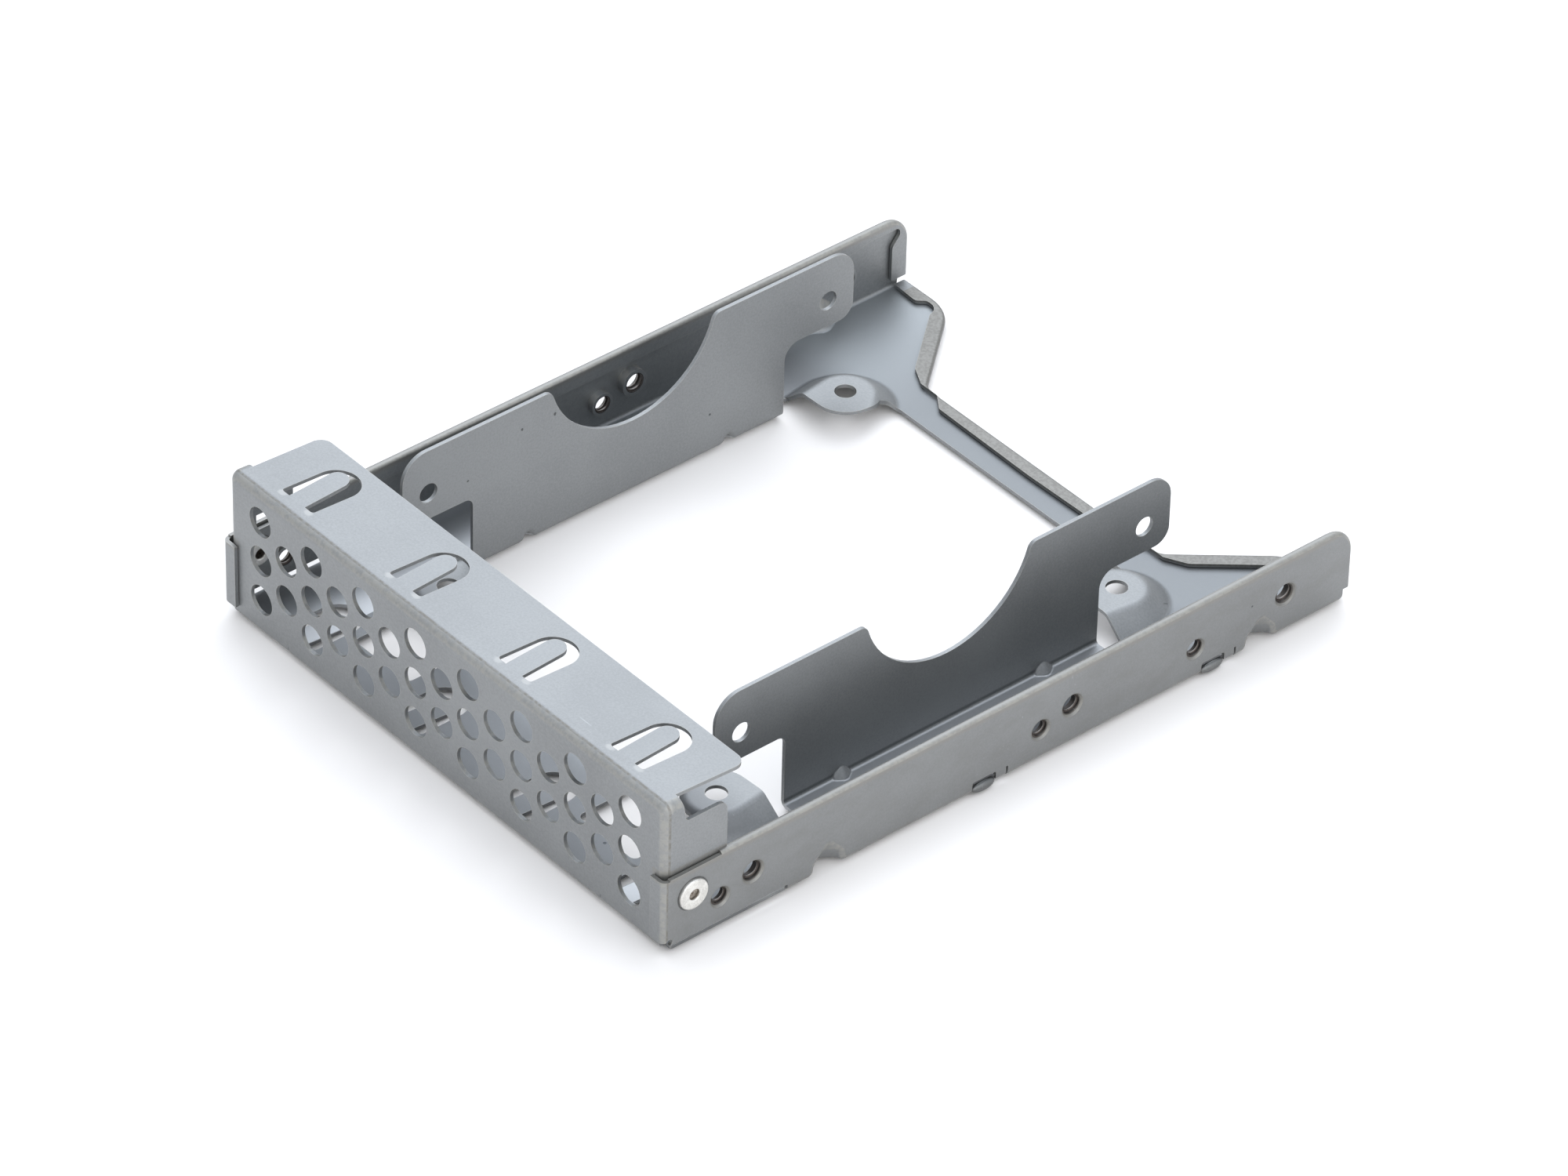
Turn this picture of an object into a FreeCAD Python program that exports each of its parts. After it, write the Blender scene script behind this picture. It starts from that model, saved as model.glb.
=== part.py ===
"""Drive cage for a computer: one folded tray of zinc-coated steel sheet, closed at its two front
corners by round rivets.

The tray is a floor with a large window. Its front edge turns up into a panel pierced with round
holes, and the panel's top turns back into a flange with four U slots. Each side of the floor turns
up into an outer wall with a hemmed edge, and the sides of the window turn up into two uprights,
between which a small drive is screwed. Four round bosses are drawn up out of the floor.

Axes: X across the cage, Y from the panel to the back, Z up. Lengths are millimetres. The model is
drawn with the panel's outer face at y = 0 and the underside of the floor at z = 0, and is moved at
the end so that the origin is in the middle of its footprint, on the surface that it stands on.
"""
import FreeCAD, Part
import math
import os
from FreeCAD import Vector

# Sheet and bends
SHEET = 0.6
WALL_BEND_INNER = 0.6
PANEL_BEND_INNER = 1.05
HEM_GAP = 0.15
HEM_EDGE_ROUND = 0.6

# Overall sizes. The depth is the sum of the lengths from the panel to the rear corners.
WIDTH = 101.6
PANEL_HEIGHT = 26.0
DRIVE_HOLE_FRONT_Y = 25.6
DRIVE_HOLE_SPACING = 76.6
STRUT_GAP = 6.2
STRUT_WIDTH = 6.3
REAR_CORNER_LENGTH = 15.7
DRIVE_HOLE_REAR_Y = DRIVE_HOLE_FRONT_Y + DRIVE_HOLE_SPACING
STRUT_FRONT_Y = DRIVE_HOLE_REAR_Y + STRUT_GAP
STRUT_REAR_Y = STRUT_FRONT_Y + STRUT_WIDTH
DEPTH = STRUT_REAR_Y + REAR_CORNER_LENGTH

# Front panel and its grille
EAR_GAP = 0.2
GRILLE_HOLE_DIAMETER = 5.0
GRILLE_COLUMNS = 15
GRILLE_PITCH_X = 6.05
GRILLE_PITCH_Z = 7.14
GRILLE_CENTRE_Z = 13.5

# Top flange
FLANGE_REACH = 16.3
FLANGE_SLOPE_DEGREES = 3.0
FLANGE_SIDE_INSET = 1.75
FLANGE_CORNER_RADIUS = 2.0
LOWER_FOLD_OVERLAP = 0.6
LOWER_FOLD_SPLIT = 0.3

# U slots and their bent fingers, in the flange and in the floor's front strip
SLOT_INNER_X = 12.5
SLOT_OUTER_X = 37.6
SLOT_WIDTH = 7.3
SLOT_FRONT_Y = 3.2
SLOT_LENGTH = 10.9
FINGER_WIDTH = 3.65
FINGER_END_GAP = 1.8
FINGER_RISE = 1.0
FINGER_DROP = 0.6
FINGER_BEND_RADIUS = 0.4
SLOT_CORNER_RADIUS = 0.5

# Ears, folded back from the panel inside the walls
EAR_DEPTH = 11.4
EAR_TOP = 21.8
EAR_CORNER_RADIUS = 1.5
EAR_HORN_DEPTH = 3.0
EAR_HORN_SLOPE = 0.9
EAR_HORN_RADIUS = 0.8
EAR_FOOT_RADIUS = 1.0
EAR_FOOT_DEPTH = 7.3
EAR_FOOT_TOP = 11.0
EAR_FOOT_BOTTOM = 2.4
LEFT_EAR_SLOT_BOTTOM = 12.7
LEFT_EAR_SLOT_TOP = 15.5
LEFT_EAR_SLOT_FRONT = 4.6

# Outer walls
WALL_HEIGHT = 13.6
WALL_FRONT_HEIGHT = 13.25
WALL_FREE_LENGTH = 22.25
WALL_FREE_BOTTOM = 1.4
WALL_FREE_CORNER_RADIUS = 0.3
WALL_REAR_CORNER_RADIUS = 4.5
WALL_REAR_OVERHANG = 0.2
WALL_REAR_STEP = 1.4
WALL_REAR_STEP_Z = 2.3
WALL_REAR_FOOT_RADIUS = 1.6
TAB_GAP = 0.1
TAB_WIDTH = 3.0
TAB_BOTTOM = 2.0
TAB_TOP = 13.0
RELIEF_RADIUS = 0.55

# Hem along the wall's top and rear edges
HEM_START_Y = 9.9
HEM_DEPTH = 2.8
HEM_CORNER_DEPTH = 1.8
HEM_CORNER_START = 12.6
HEM_CORNER_RAMP = 5.0
HEM_LINE_RADIUS = 2.0
REAR_HEM_DEPTH = 3.3
REAR_HEM_DROP = 5.0
REAR_HEM_RAMP = 1.8
REAR_HEM_RADIUS = 1.5
HEM_INNER_RADIUS = 0.8

# Threaded collars in the walls, as (y, z) places
LARGE_COLLAR_BORE = 3.2
SMALL_COLLAR_BORE = 2.8
LARGE_COLLAR_WALL = 0.7
SMALL_COLLAR_WALL = 0.55
LARGE_COLLAR_HEIGHT = 1.4
SMALL_COLLAR_HEIGHT = 1.1
COLLAR_ENTRY = 0.4
LARGE_COLLAR_Z = 7.1
SMALL_COLLAR_Z = 5.6
LARGE_COLLAR_FRONT_Y = 15.7
SMALL_COLLAR_FRONT_Y = 9.7
COLLAR_SPACING = 60.0
LARGE_COLLAR_TO_REAR = 13.3
SMALL_COLLAR_TO_DRIVE_HOLE = 2.5

# Stiffening darts, pressed into the bends by a punch with a round crest
WALL_DART_FREE_GAP = 7.5
WALL_DART_COLLAR_GAP = 4.6
WALL_DART_RISE = 5.5
WALL_DART_REACH = 3.1
WALL_DART_HALF_WIDTH = 2.3
WALL_DART_SHOULDER = 3.0
WALL_DART_CREST_RADIUS = 0.8
WALL_DART_EDGE_ROUND = 0.6
UPRIGHT_DART_INSET = 19.0
UPRIGHT_DART_RISE = 2.3
UPRIGHT_DART_REACH = 2.0
UPRIGHT_DART_HALF_WIDTH = 1.1
UPRIGHT_DART_SHOULDER = 1.0
UPRIGHT_DART_CREST_RADIUS = 0.4
UPRIGHT_DART_EDGE_ROUND = 0.3
DART_MARGIN = 2.2

# Lanced tongues at the foot of the walls, each with a notch and a slit behind it
TONGUE_Y = (56.8, 101.1)
TONGUE_LENGTH = 4.5
TONGUE_TOP = 1.5
TONGUE_SLOT_HEIGHT = 0.65
TONGUE_INSET = 0.35
NOTCH_LENGTH = 2.3
NOTCH_TOP = 0.75
SLIT_WIDTH = 0.4
SLIT_TOP = 2.1

# Uprights that hold the drive
UPRIGHT_INNER_X = 35.4
UPRIGHT_TOP = 25.7
LOBE_BOTTOM = 13.25
LOBE_FRONT_MARGIN = 4.8
LOBE_REAR_MARGIN = 5.0
STEM_FRONT_MARGIN = 8.3
STEM_REAR_MARGIN = 8.4
LOBE_FRONT_RADIUS = 4.5
LOBE_REAR_RADIUS = 4.0
LOBE_BOTTOM_RADIUS = 2.7
STEM_FRONT_FILLET = 1.5
STEM_REAR_FILLET = 2.8
CUTOUT_RADIUS = 16.0
CUTOUT_OFFSET = 0.5
CUTOUT_BOTTOM = 13.25
CUTOUT_LIP_RADIUS = 1.5
DRIVE_HOLE_DIAMETER = 3.3
DRIVE_HOLE_Z = 18.0

# Raised bosses in the floor: round towards the floor, open and level towards the window
BOSS_X = 30.86
BOSS_HOLE_DIAMETER = 3.4
BOSS_RISE = 3.1
BOSS_TOP_RADIUS = 4.3
BOSS_FOOT_RADIUS = 7.9
BOSS_BEND_INNER = 1.4
BOSS_TAPER = 8.0
BOSS_EAR_RADIUS = 5.3

# Window in the floor
STRIP_REAR_Y = 9.2
APRON_HALF_WIDTH = 19.6
APRON_REAR_Y = 20.0
NOTCH_OUTER_X = 32.3
RELIEF_FRONT_MARGIN = 5.7
RELIEF_REAR_MARGIN = 5.5
RELIEF_OUTER_X = 38.4
RELIEF_CORNER_RADIUS = 0.6
EAR_ROOT_RADIUS = 1.0
STRUT_CORNER_RETREAT = 4.3
STRUT_CORNER_RADIUS = 1.8
WINDOW_CORNER_RADIUS = 1.0

# Flared rear corners of the floor, with their hem
FLARE_START_X = 26.3
FLARE_ANGLE_DEGREES = 50.0
FLARE_INNER_RADIUS = 3.0
FLARE_CORNER_RADIUS = 8.0
FLOOR_HEM_DEPTH = 2.6
FLOOR_HEM_WALL_DEPTH = 2.3
STRUT_HEM_DEPTH = 2.6
STRUT_HEM_END_DEPTH = 2.2
STRUT_HEM_END_X = 21.0
HEM_NOTCH_DEPTH = 1.25
HEM_NOTCH_START = 1.1
HEM_NOTCH_LENGTH = 2.6
HEM_NOTCH_RAMP = 1.1
HEM_SLANT_TOP_MARGIN = 4.2
HEM_SLANT_FOOT_MARGIN = 2.2
HEM_HOLLOW_AFTER = 1.2
HEM_HOLLOW_BEFORE = 2.5
HEM_HOLLOW_DEPTH = 0.2
HEM_BEND_RADIUS = 1.0

# Rivets
RIVET_Y = 4.64
RIVET_Z = 8.9
RIVET_HEAD_DIAMETER = 5.1
RIVET_HEAD_HEIGHT = 0.5
RIVET_SHANK_DIAMETER = 3.2
RIVET_TAIL_DIAMETER = 4.4
RIVET_TAIL_HEIGHT = 0.9
RIVET_BORE_DIAMETER = 1.7
RIVET_EDGE_ROUND = 0.3
RIVET_ROLL_ROUND = 0.4

# Worked out from the sizes above
HALF_WIDTH = WIDTH / 2
WALL_INNER_X = HALF_WIDTH - SHEET
EAR_OUTER_X = WALL_INNER_X - EAR_GAP
EAR_INNER_X = EAR_OUTER_X - SHEET
WALL_BEND_OUTER = WALL_BEND_INNER + SHEET
PANEL_BEND_OUTER = PANEL_BEND_INNER + SHEET
HEM_THICKNESS = 2 * SHEET + HEM_GAP
TAB_FRONT_Y = -TAB_GAP - SHEET
UPRIGHT_OUTER_X = UPRIGHT_INNER_X + SHEET
WALL_REAR_Y = DEPTH + WALL_REAR_OVERHANG
DRIVE_HOLE_Y = (DRIVE_HOLE_FRONT_Y, DRIVE_HOLE_REAR_Y)
MIDDLE_Y = (DRIVE_HOLE_FRONT_Y + DRIVE_HOLE_REAR_Y) / 2
STEM_FRONT_Y = DRIVE_HOLE_FRONT_Y + STEM_FRONT_MARGIN
STEM_REAR_Y = DRIVE_HOLE_REAR_Y - STEM_REAR_MARGIN
LARGE_COLLAR_Y = (LARGE_COLLAR_FRONT_Y, LARGE_COLLAR_FRONT_Y + COLLAR_SPACING,
                  WALL_REAR_Y - LARGE_COLLAR_TO_REAR)
SMALL_COLLAR_Y = (SMALL_COLLAR_FRONT_Y, SMALL_COLLAR_FRONT_Y + COLLAR_SPACING,
                  DRIVE_HOLE_REAR_Y - SMALL_COLLAR_TO_DRIVE_HOLE)
WALL_DART_Y = (WALL_FREE_LENGTH + WALL_DART_FREE_GAP, LARGE_COLLAR_Y[2] - WALL_DART_COLLAR_GAP)
UPRIGHT_DART_Y = (DRIVE_HOLE_FRONT_Y + UPRIGHT_DART_INSET, DRIVE_HOLE_REAR_Y - UPRIGHT_DART_INSET)
SLOPE = math.tan(math.radians(FLANGE_SLOPE_DEGREES))
# How far a cutting body runs past the face that it opens
PAST = 2.0


def flange_top(y):
    """Height of the flange's upper face at a distance y behind the panel's face."""
    return PANEL_HEIGHT - SLOPE * y


def unit(vector):
    """The vector's direction, one unit long."""
    return vector * (1.0 / vector.Length)


def corner(before, point, after):
    """Directions into and out of an outline's corner, the way to its bend centre, half its turn."""
    inward = unit(point - before)
    outward = unit(after - point)
    half_turn = inward.getAngle(outward) / 2
    to_centre = unit(outward - inward) if half_turn > 1e-6 else Vector()
    return inward, outward, to_centre, half_turn


def outline(points, place):
    """Closed wire through (u, v) or (u, v, radius) corners, put in space by the place function."""
    flat = [Vector(p[0], p[1], 0) for p in points]
    radii = [p[2] if len(p) > 2 else 0.0 for p in points]
    count = len(flat)
    stations = []
    for i in range(count):
        before, point, after = flat[i - 1], flat[i], flat[(i + 1) % count]
        inward, outward, to_centre, half_turn = corner(before, point, after)
        if radii[i] > 0 and half_turn > 1e-6:
            run = radii[i] * math.tan(half_turn)
            depth = radii[i] / math.cos(half_turn) - radii[i]
            stations.append((point - inward * run, point + to_centre * depth, point + outward * run))
        else:
            stations.append((point, None, point))
    edges = []
    for i in range(count):
        start, middle, end = stations[i]
        if middle is not None:
            edges.append(Part.Arc(*[place(p.x, p.y) for p in (start, middle, end)]).toShape())
        following = stations[(i + 1) % count][0]
        if (following - end).Length > 1e-6:
            edges.append(Part.LineSegment(place(end.x, end.y), place(following.x, following.y)).toShape())
    return Part.Wire(edges)


def side_prism(points, x_from, x_to):
    """Solid whose outline is given as (y, z) and which runs along X."""
    face = Part.Face(outline(points, lambda u, v: Vector(x_from, u, v)))
    return face.extrude(Vector(x_to - x_from, 0, 0))


def front_prism(points, y_from, y_to):
    """Solid whose outline is given as (x, z) and which runs along Y."""
    face = Part.Face(outline(points, lambda u, v: Vector(u, y_from, v)))
    return face.extrude(Vector(0, y_to - y_from, 0))


def plan_prism(points, z_from, z_to):
    """Solid whose outline is given as (x, y) and which stands along Z."""
    face = Part.Face(outline(points, lambda u, v: Vector(u, v, z_from)))
    return face.extrude(Vector(0, 0, z_to - z_from))


def block(x_from, x_to, y_from, y_to, z_from, z_to):
    """Box between two corners."""
    size = (x_to - x_from, y_to - y_from, z_to - z_from)
    return Part.makeBox(*size, Vector(x_from, y_from, z_from))


def folded(points, inner_radius, thickness=SHEET):
    """Outline of a folded strip. The points follow one face, and the sheet lies on their left."""
    flat = [Vector(p[0], p[1], 0) for p in points]
    near = [(flat[0].x, flat[0].y)]
    first = unit(flat[1] - flat[0])
    last = unit(flat[-1] - flat[-2])
    start = flat[0] + Vector(-first.y, first.x, 0) * thickness
    end = flat[-1] + Vector(-last.y, last.x, 0) * thickness
    far = [(start.x, start.y)]
    for before, point, after in zip(flat, flat[1:], flat[2:]):
        inward, outward, to_centre, half_turn = corner(before, point, after)
        turns_left = inward.cross(outward).z > 0
        side = 1 if turns_left else -1
        opposite = point + to_centre * (side * thickness / math.cos(half_turn))
        near.append((point.x, point.y, inner_radius + (thickness if turns_left else 0)))
        far.append((opposite.x, opposite.y, inner_radius + (0 if turns_left else thickness)))
    near.append((flat[-1].x, flat[-1].y))
    far.append((end.x, end.y))
    return near + far[::-1]


def cylinder_z(x, y, radius, z_from, z_to):
    """Upright cylinder."""
    return Part.makeCylinder(radius, z_to - z_from, Vector(x, y, z_from))


def cylinder_x(y, z, radius, x_from, x_to):
    """Cylinder across the cage."""
    return Part.makeCylinder(radius, x_to - x_from, Vector(x_from, y, z), Vector(1, 0, 0))


def mirrored(shape):
    """The shape's twin on the other side of the middle plane."""
    return shape.mirror(Vector(), Vector(1, 0, 0))


def cut_edges(solid, radius, is_wanted):
    """Round the edges whose middle point passes the test."""
    edges = [edge for edge in solid.Edges if is_wanted(edge)]
    return solid.makeFillet(radius, edges)


def drawn_block(inset, bend):
    """Right half of the front's outer or inner form: three faces that meet in a drawn ball corner."""
    side = EAR_OUTER_X - inset
    lift = inset / math.cos(math.atan(SLOPE))
    reach = FLANGE_REACH + PAST
    top = flange_top(0) - lift
    points = [(inset, inset), (inset, top - SLOPE * inset), (reach, top - SLOPE * reach), (reach, inset)]
    solid = side_prism(points, 0, side)

    def is_drawn(edge):
        box = edge.BoundBox
        along_panel = box.YMax < inset + 1e-4 and box.XLength + box.ZLength > 1
        upright = along_panel and box.XMin > side - 1e-4
        level = along_panel and box.ZMin > top - SLOPE * inset - 1e-4
        rim = box.XMin > side - 1e-4 and box.ZMax > top - SLOPE * inset - 1e-4 and box.YLength > 1
        return upright or level or rim

    return cut_edges(solid, bend, is_drawn)


def front_shell():
    """Panel, flange and ear of the right half, still joined all along their edges."""
    outer = drawn_block(0, PANEL_BEND_OUTER)
    inner = drawn_block(SHEET, PANEL_BEND_INNER)
    open_back = block(-PAST, HALF_WIDTH, FLANGE_REACH, FLANGE_REACH + 2 * PAST, -PAST, PANEL_HEIGHT + PAST)
    return outer.cut(inner).cut(open_back)


def front_keep():
    """What stays of the front shell: the panel, the flange's outline and the ear's outline."""
    side = EAR_OUTER_X - FLANGE_SIDE_INSET
    flange = plan_prism([(0, -PAST), (side, -PAST), (side, FLANGE_REACH, FLANGE_CORNER_RADIUS),
                         (0, FLANGE_REACH)], PANEL_BEND_OUTER, PANEL_HEIGHT + PAST)
    horn_top = PANEL_HEIGHT + PAST
    ear = side_prism([(-PAST, EAR_FOOT_BOTTOM), (-PAST, horn_top), (EAR_HORN_DEPTH, horn_top),
                      (EAR_HORN_DEPTH + EAR_HORN_SLOPE, EAR_TOP, EAR_HORN_RADIUS),
                      (EAR_DEPTH, EAR_TOP, EAR_CORNER_RADIUS), (EAR_DEPTH, EAR_FOOT_TOP, EAR_CORNER_RADIUS),
                      (EAR_FOOT_DEPTH, EAR_FOOT_TOP, EAR_FOOT_RADIUS),
                      (EAR_FOOT_DEPTH, EAR_FOOT_BOTTOM, EAR_FOOT_RADIUS)], side - SHEET, HALF_WIDTH)
    return flange.fuse(ear)


def front_fold():
    """Lower bend of the panel, with the first strip of the floor."""
    section = folded([(0, PANEL_HEIGHT / 2), (0, 0), (2 * PAST, 0)], WALL_BEND_INNER)
    return side_prism(section, 0, EAR_OUTER_X - PANEL_BEND_OUTER + LOWER_FOLD_OVERLAP)


def grille_holes():
    """Round holes of the right half, in columns of three and two by turns."""
    holes = []
    middle = GRILLE_COLUMNS // 2
    for column in range(middle, GRILLE_COLUMNS):
        x = (column - middle) * GRILLE_PITCH_X
        rows = 3 if (column % 2 == 0) else 2
        for row in range(rows):
            z = GRILLE_CENTRE_Z + (row - (rows - 1) / 2) * GRILLE_PITCH_Z
            start = Vector(x, -PAST, z)
            holes.append(Part.makeCylinder(GRILLE_HOLE_DIAMETER / 2, 2 * PAST, start, Vector(0, 1, 0)))
    return holes


def slot_cut(x, z_from, z_to):
    """U slot without its finger, through a level sheet."""
    rear = SLOT_FRONT_Y + SLOT_LENGTH
    half = SLOT_WIDTH / 2
    nearly_half = half - 0.01
    front = SLOT_FRONT_Y
    slot = plan_prism([(x - half, front, SLOT_CORNER_RADIUS), (x + half, front, SLOT_CORNER_RADIUS),
                       (x + half, rear, nearly_half), (x - half, rear, nearly_half)], z_from, z_to)
    return slot.cut(finger_plan(x, z_from - PAST, z_to + PAST))


def finger_plan(x, z_from, z_to):
    """Plan outline of a finger, from just before its root to its round tip."""
    half = FINGER_WIDTH / 2
    tip = SLOT_FRONT_Y + SLOT_LENGTH - FINGER_END_GAP
    nearly_half = half - 0.01
    return plan_prism([(x - half, SLOT_FRONT_Y - 1), (x + half, SLOT_FRONT_Y - 1),
                       (x + half, tip, nearly_half), (x - half, tip, nearly_half)], z_from, z_to)


def finger(x, lift, surface):
    """Finger bent out of a sheet whose upper face is given by the surface function."""
    tip = SLOT_FRONT_Y + SLOT_LENGTH - FINGER_END_GAP + 1
    root = SLOT_FRONT_Y
    start = root - 1
    lift_past = lift * (tip - root) / (tip - 1 - root)
    upper = [(tip, surface(tip) + lift_past), (root, surface(root)), (start, surface(start))]
    section = folded(upper, FINGER_BEND_RADIUS)
    half = FINGER_WIDTH / 2 + 1
    return side_prism(section, x - half, x + half).common(finger_plan(x, -2 * PAST, PANEL_HEIGHT + PAST))


def bend_fingers(body):
    """Cut the U slots in flange and floor and put the fingers in them, bent out of the cage."""
    for x in (SLOT_INNER_X, SLOT_OUTER_X):
        for z_from, z_to, lift, surface in (
                (PANEL_HEIGHT - PAST, PANEL_HEIGHT + PAST, FINGER_RISE, flange_top),
                (-PAST, PAST, -FINGER_DROP, lambda y: SHEET)):
            body = body.cut(slot_cut(x, z_from, z_to))
            flat = finger_plan(x, z_from, z_to).common(
                block(0, WIDTH, SLOT_FRONT_Y, SLOT_FRONT_Y + SLOT_LENGTH, z_from, z_to))
            body = body.cut(flat).fuse(finger(x, lift, surface))
    return body


def flare_corners():
    """Rear outline of the floor's right half, from the strut's middle to the wall."""
    run = DEPTH - STRUT_REAR_Y
    corner_x = FLARE_START_X + run / math.tan(math.radians(FLARE_ANGLE_DEGREES))
    return [(FLARE_START_X, STRUT_REAR_Y, FLARE_INNER_RADIUS), (corner_x, DEPTH, FLARE_CORNER_RADIUS)]


def floor_region(z_from, z_to):
    """Plan of the floor's right half with its window, as a tall solid."""
    wall_side = HALF_WIDTH - WALL_BEND_OUTER
    plate = plan_prism([(0, WALL_BEND_OUTER), (WALL_INNER_X, WALL_BEND_OUTER, WALL_FREE_CORNER_RADIUS),
                        (WALL_INNER_X, WALL_FREE_LENGTH), (wall_side, WALL_FREE_LENGTH),
                        (wall_side, DEPTH)] + flare_corners()[::-1] + [(0, STRUT_REAR_Y)], z_from, z_to)
    front_y, rear_y = DRIVE_HOLE_Y
    ear_top = front_y + BOSS_EAR_RADIUS
    ear_front = rear_y - BOSS_EAR_RADIUS
    relief_front = front_y + RELIEF_FRONT_MARGIN
    relief_rear = rear_y - RELIEF_REAR_MARGIN
    strut_x = BOSS_X - STRUT_CORNER_RETREAT
    bend_x = UPRIGHT_INNER_X + WALL_BEND_OUTER
    window = plan_prism([
        (-PAST, APRON_REAR_Y), (APRON_HALF_WIDTH, APRON_REAR_Y, WINDOW_CORNER_RADIUS),
        (APRON_HALF_WIDTH, STRIP_REAR_Y, WINDOW_CORNER_RADIUS),
        (NOTCH_OUTER_X, STRIP_REAR_Y, WINDOW_CORNER_RADIUS), (NOTCH_OUTER_X, front_y), (BOSS_X, front_y),
        (BOSS_X, ear_top), (RELIEF_OUTER_X, relief_front, RELIEF_CORNER_RADIUS),
        (RELIEF_OUTER_X, STEM_FRONT_Y),
        (bend_x, STEM_FRONT_Y), (bend_x, STEM_REAR_Y), (RELIEF_OUTER_X, STEM_REAR_Y),
        (RELIEF_OUTER_X, relief_rear, RELIEF_CORNER_RADIUS), (BOSS_X, ear_front), (BOSS_X, rear_y),
        (strut_x, rear_y), (strut_x, STRUT_FRONT_Y, STRUT_CORNER_RADIUS),
        (-PAST, STRUT_FRONT_Y)], z_from - PAST, z_to + PAST)
    region = plate.cut(window)
    for y in DRIVE_HOLE_Y:
        region = region.fuse(cylinder_z(BOSS_X, y, BOSS_EAR_RADIUS, z_from, z_to))

    def is_ear_root(edge):
        low, high = edge.Vertexes[0].Point, edge.Vertexes[-1].Point
        if abs(high.z - low.z) < SHEET / 2:
            return False
        nearest = min(DRIVE_HOLE_Y, key=lambda y: abs(low.y - y))
        on_ear = abs(math.hypot(low.x - BOSS_X, low.y - nearest) - BOSS_EAR_RADIUS) < 1e-4
        return on_ear and abs(low.y - MIDDLE_Y) > abs(nearest - MIDDLE_Y)

    return cut_edges(region, EAR_ROOT_RADIUS, is_ear_root)


def boss_shell(y):
    """Raised boss and the plan of the floor that it replaces.

    Its coned flank runs round the hole on the side away from the window. Then it goes straight on, along
    the wall on one side and towards the window's middle on the other, and leaves a level ear between.
    """
    hole = Vector(BOSS_X, y, 0)
    inward = math.copysign(1, MIDDLE_Y - y)
    taper = math.radians(BOSS_TAPER)
    along = Vector(-math.sin(taper), inward * math.cos(taper), 0)
    outer = Vector(math.cos(taper), inward * math.sin(taper), 0)
    toward = unit(Vector(0, MIDDLE_Y, 0) - hole)
    other = Vector(-inward * toward.y, inward * toward.x, 0)
    margin = RELIEF_FRONT_MARGIN if y < MIDDLE_Y else RELIEF_REAR_MARGIN
    rim = BOSS_FOOT_RADIUS + BOSS_BEND_INNER
    run = BOSS_EAR_RADIUS + BOSS_BEND_INNER
    section = folded([(0, BOSS_RISE), (BOSS_TOP_RADIUS, BOSS_RISE), (BOSS_FOOT_RADIUS, 0), (rim, 0)],
                     BOSS_BEND_INNER)

    def cut_along(direction):
        return Part.Face(outline(section, lambda u, v: hole + direction * u + Vector(0, 0, v)))

    turn = math.degrees(outer.getAngle(other))
    shell = cut_along(outer).revolve(hole, Vector(0, 0, -inward), turn)
    sides = cut_along(outer).extrude(along * run).fuse(cut_along(other).extrude(toward * run))
    corners = [hole, hole + along * run, hole + toward * run]
    shell = shell.fuse(sides).fuse(plan_prism([(p.x, p.y) for p in corners], BOSS_RISE, BOSS_RISE + SHEET))
    corners = [hole + outer * rim, hole + outer * rim + along * run, hole + along * run, hole + toward * run,
               hole + toward * run + other * rim, hole + other * rim]
    plan = plan_prism([(p.x, p.y) for p in corners], -PAST, PAST)
    plan = plan.fuse(cylinder_z(hole.x, hole.y, rim, -PAST, PAST))
    beyond = Part.makeBox(3 * rim, 3 * rim, 3 * rim)
    beyond.translate(Vector(RELIEF_OUTER_X - RELIEF_CORNER_RADIUS, y + inward * margin, -rim))
    if inward < 0:
        beyond.translate(Vector(0, -3 * rim, 0))
    return shell.removeSplitter().cut(beyond), plan.cut(beyond)


def floor():
    """Right half of the floor with its two bosses."""
    flat = floor_region(0, SHEET)
    keep = floor_region(-PAST, BOSS_RISE + 2 * PAST)
    for y in DRIVE_HOLE_Y:
        shell, plan = boss_shell(y)
        flat = flat.cut(plan).fuse(shell.common(keep))
    return flat


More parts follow.
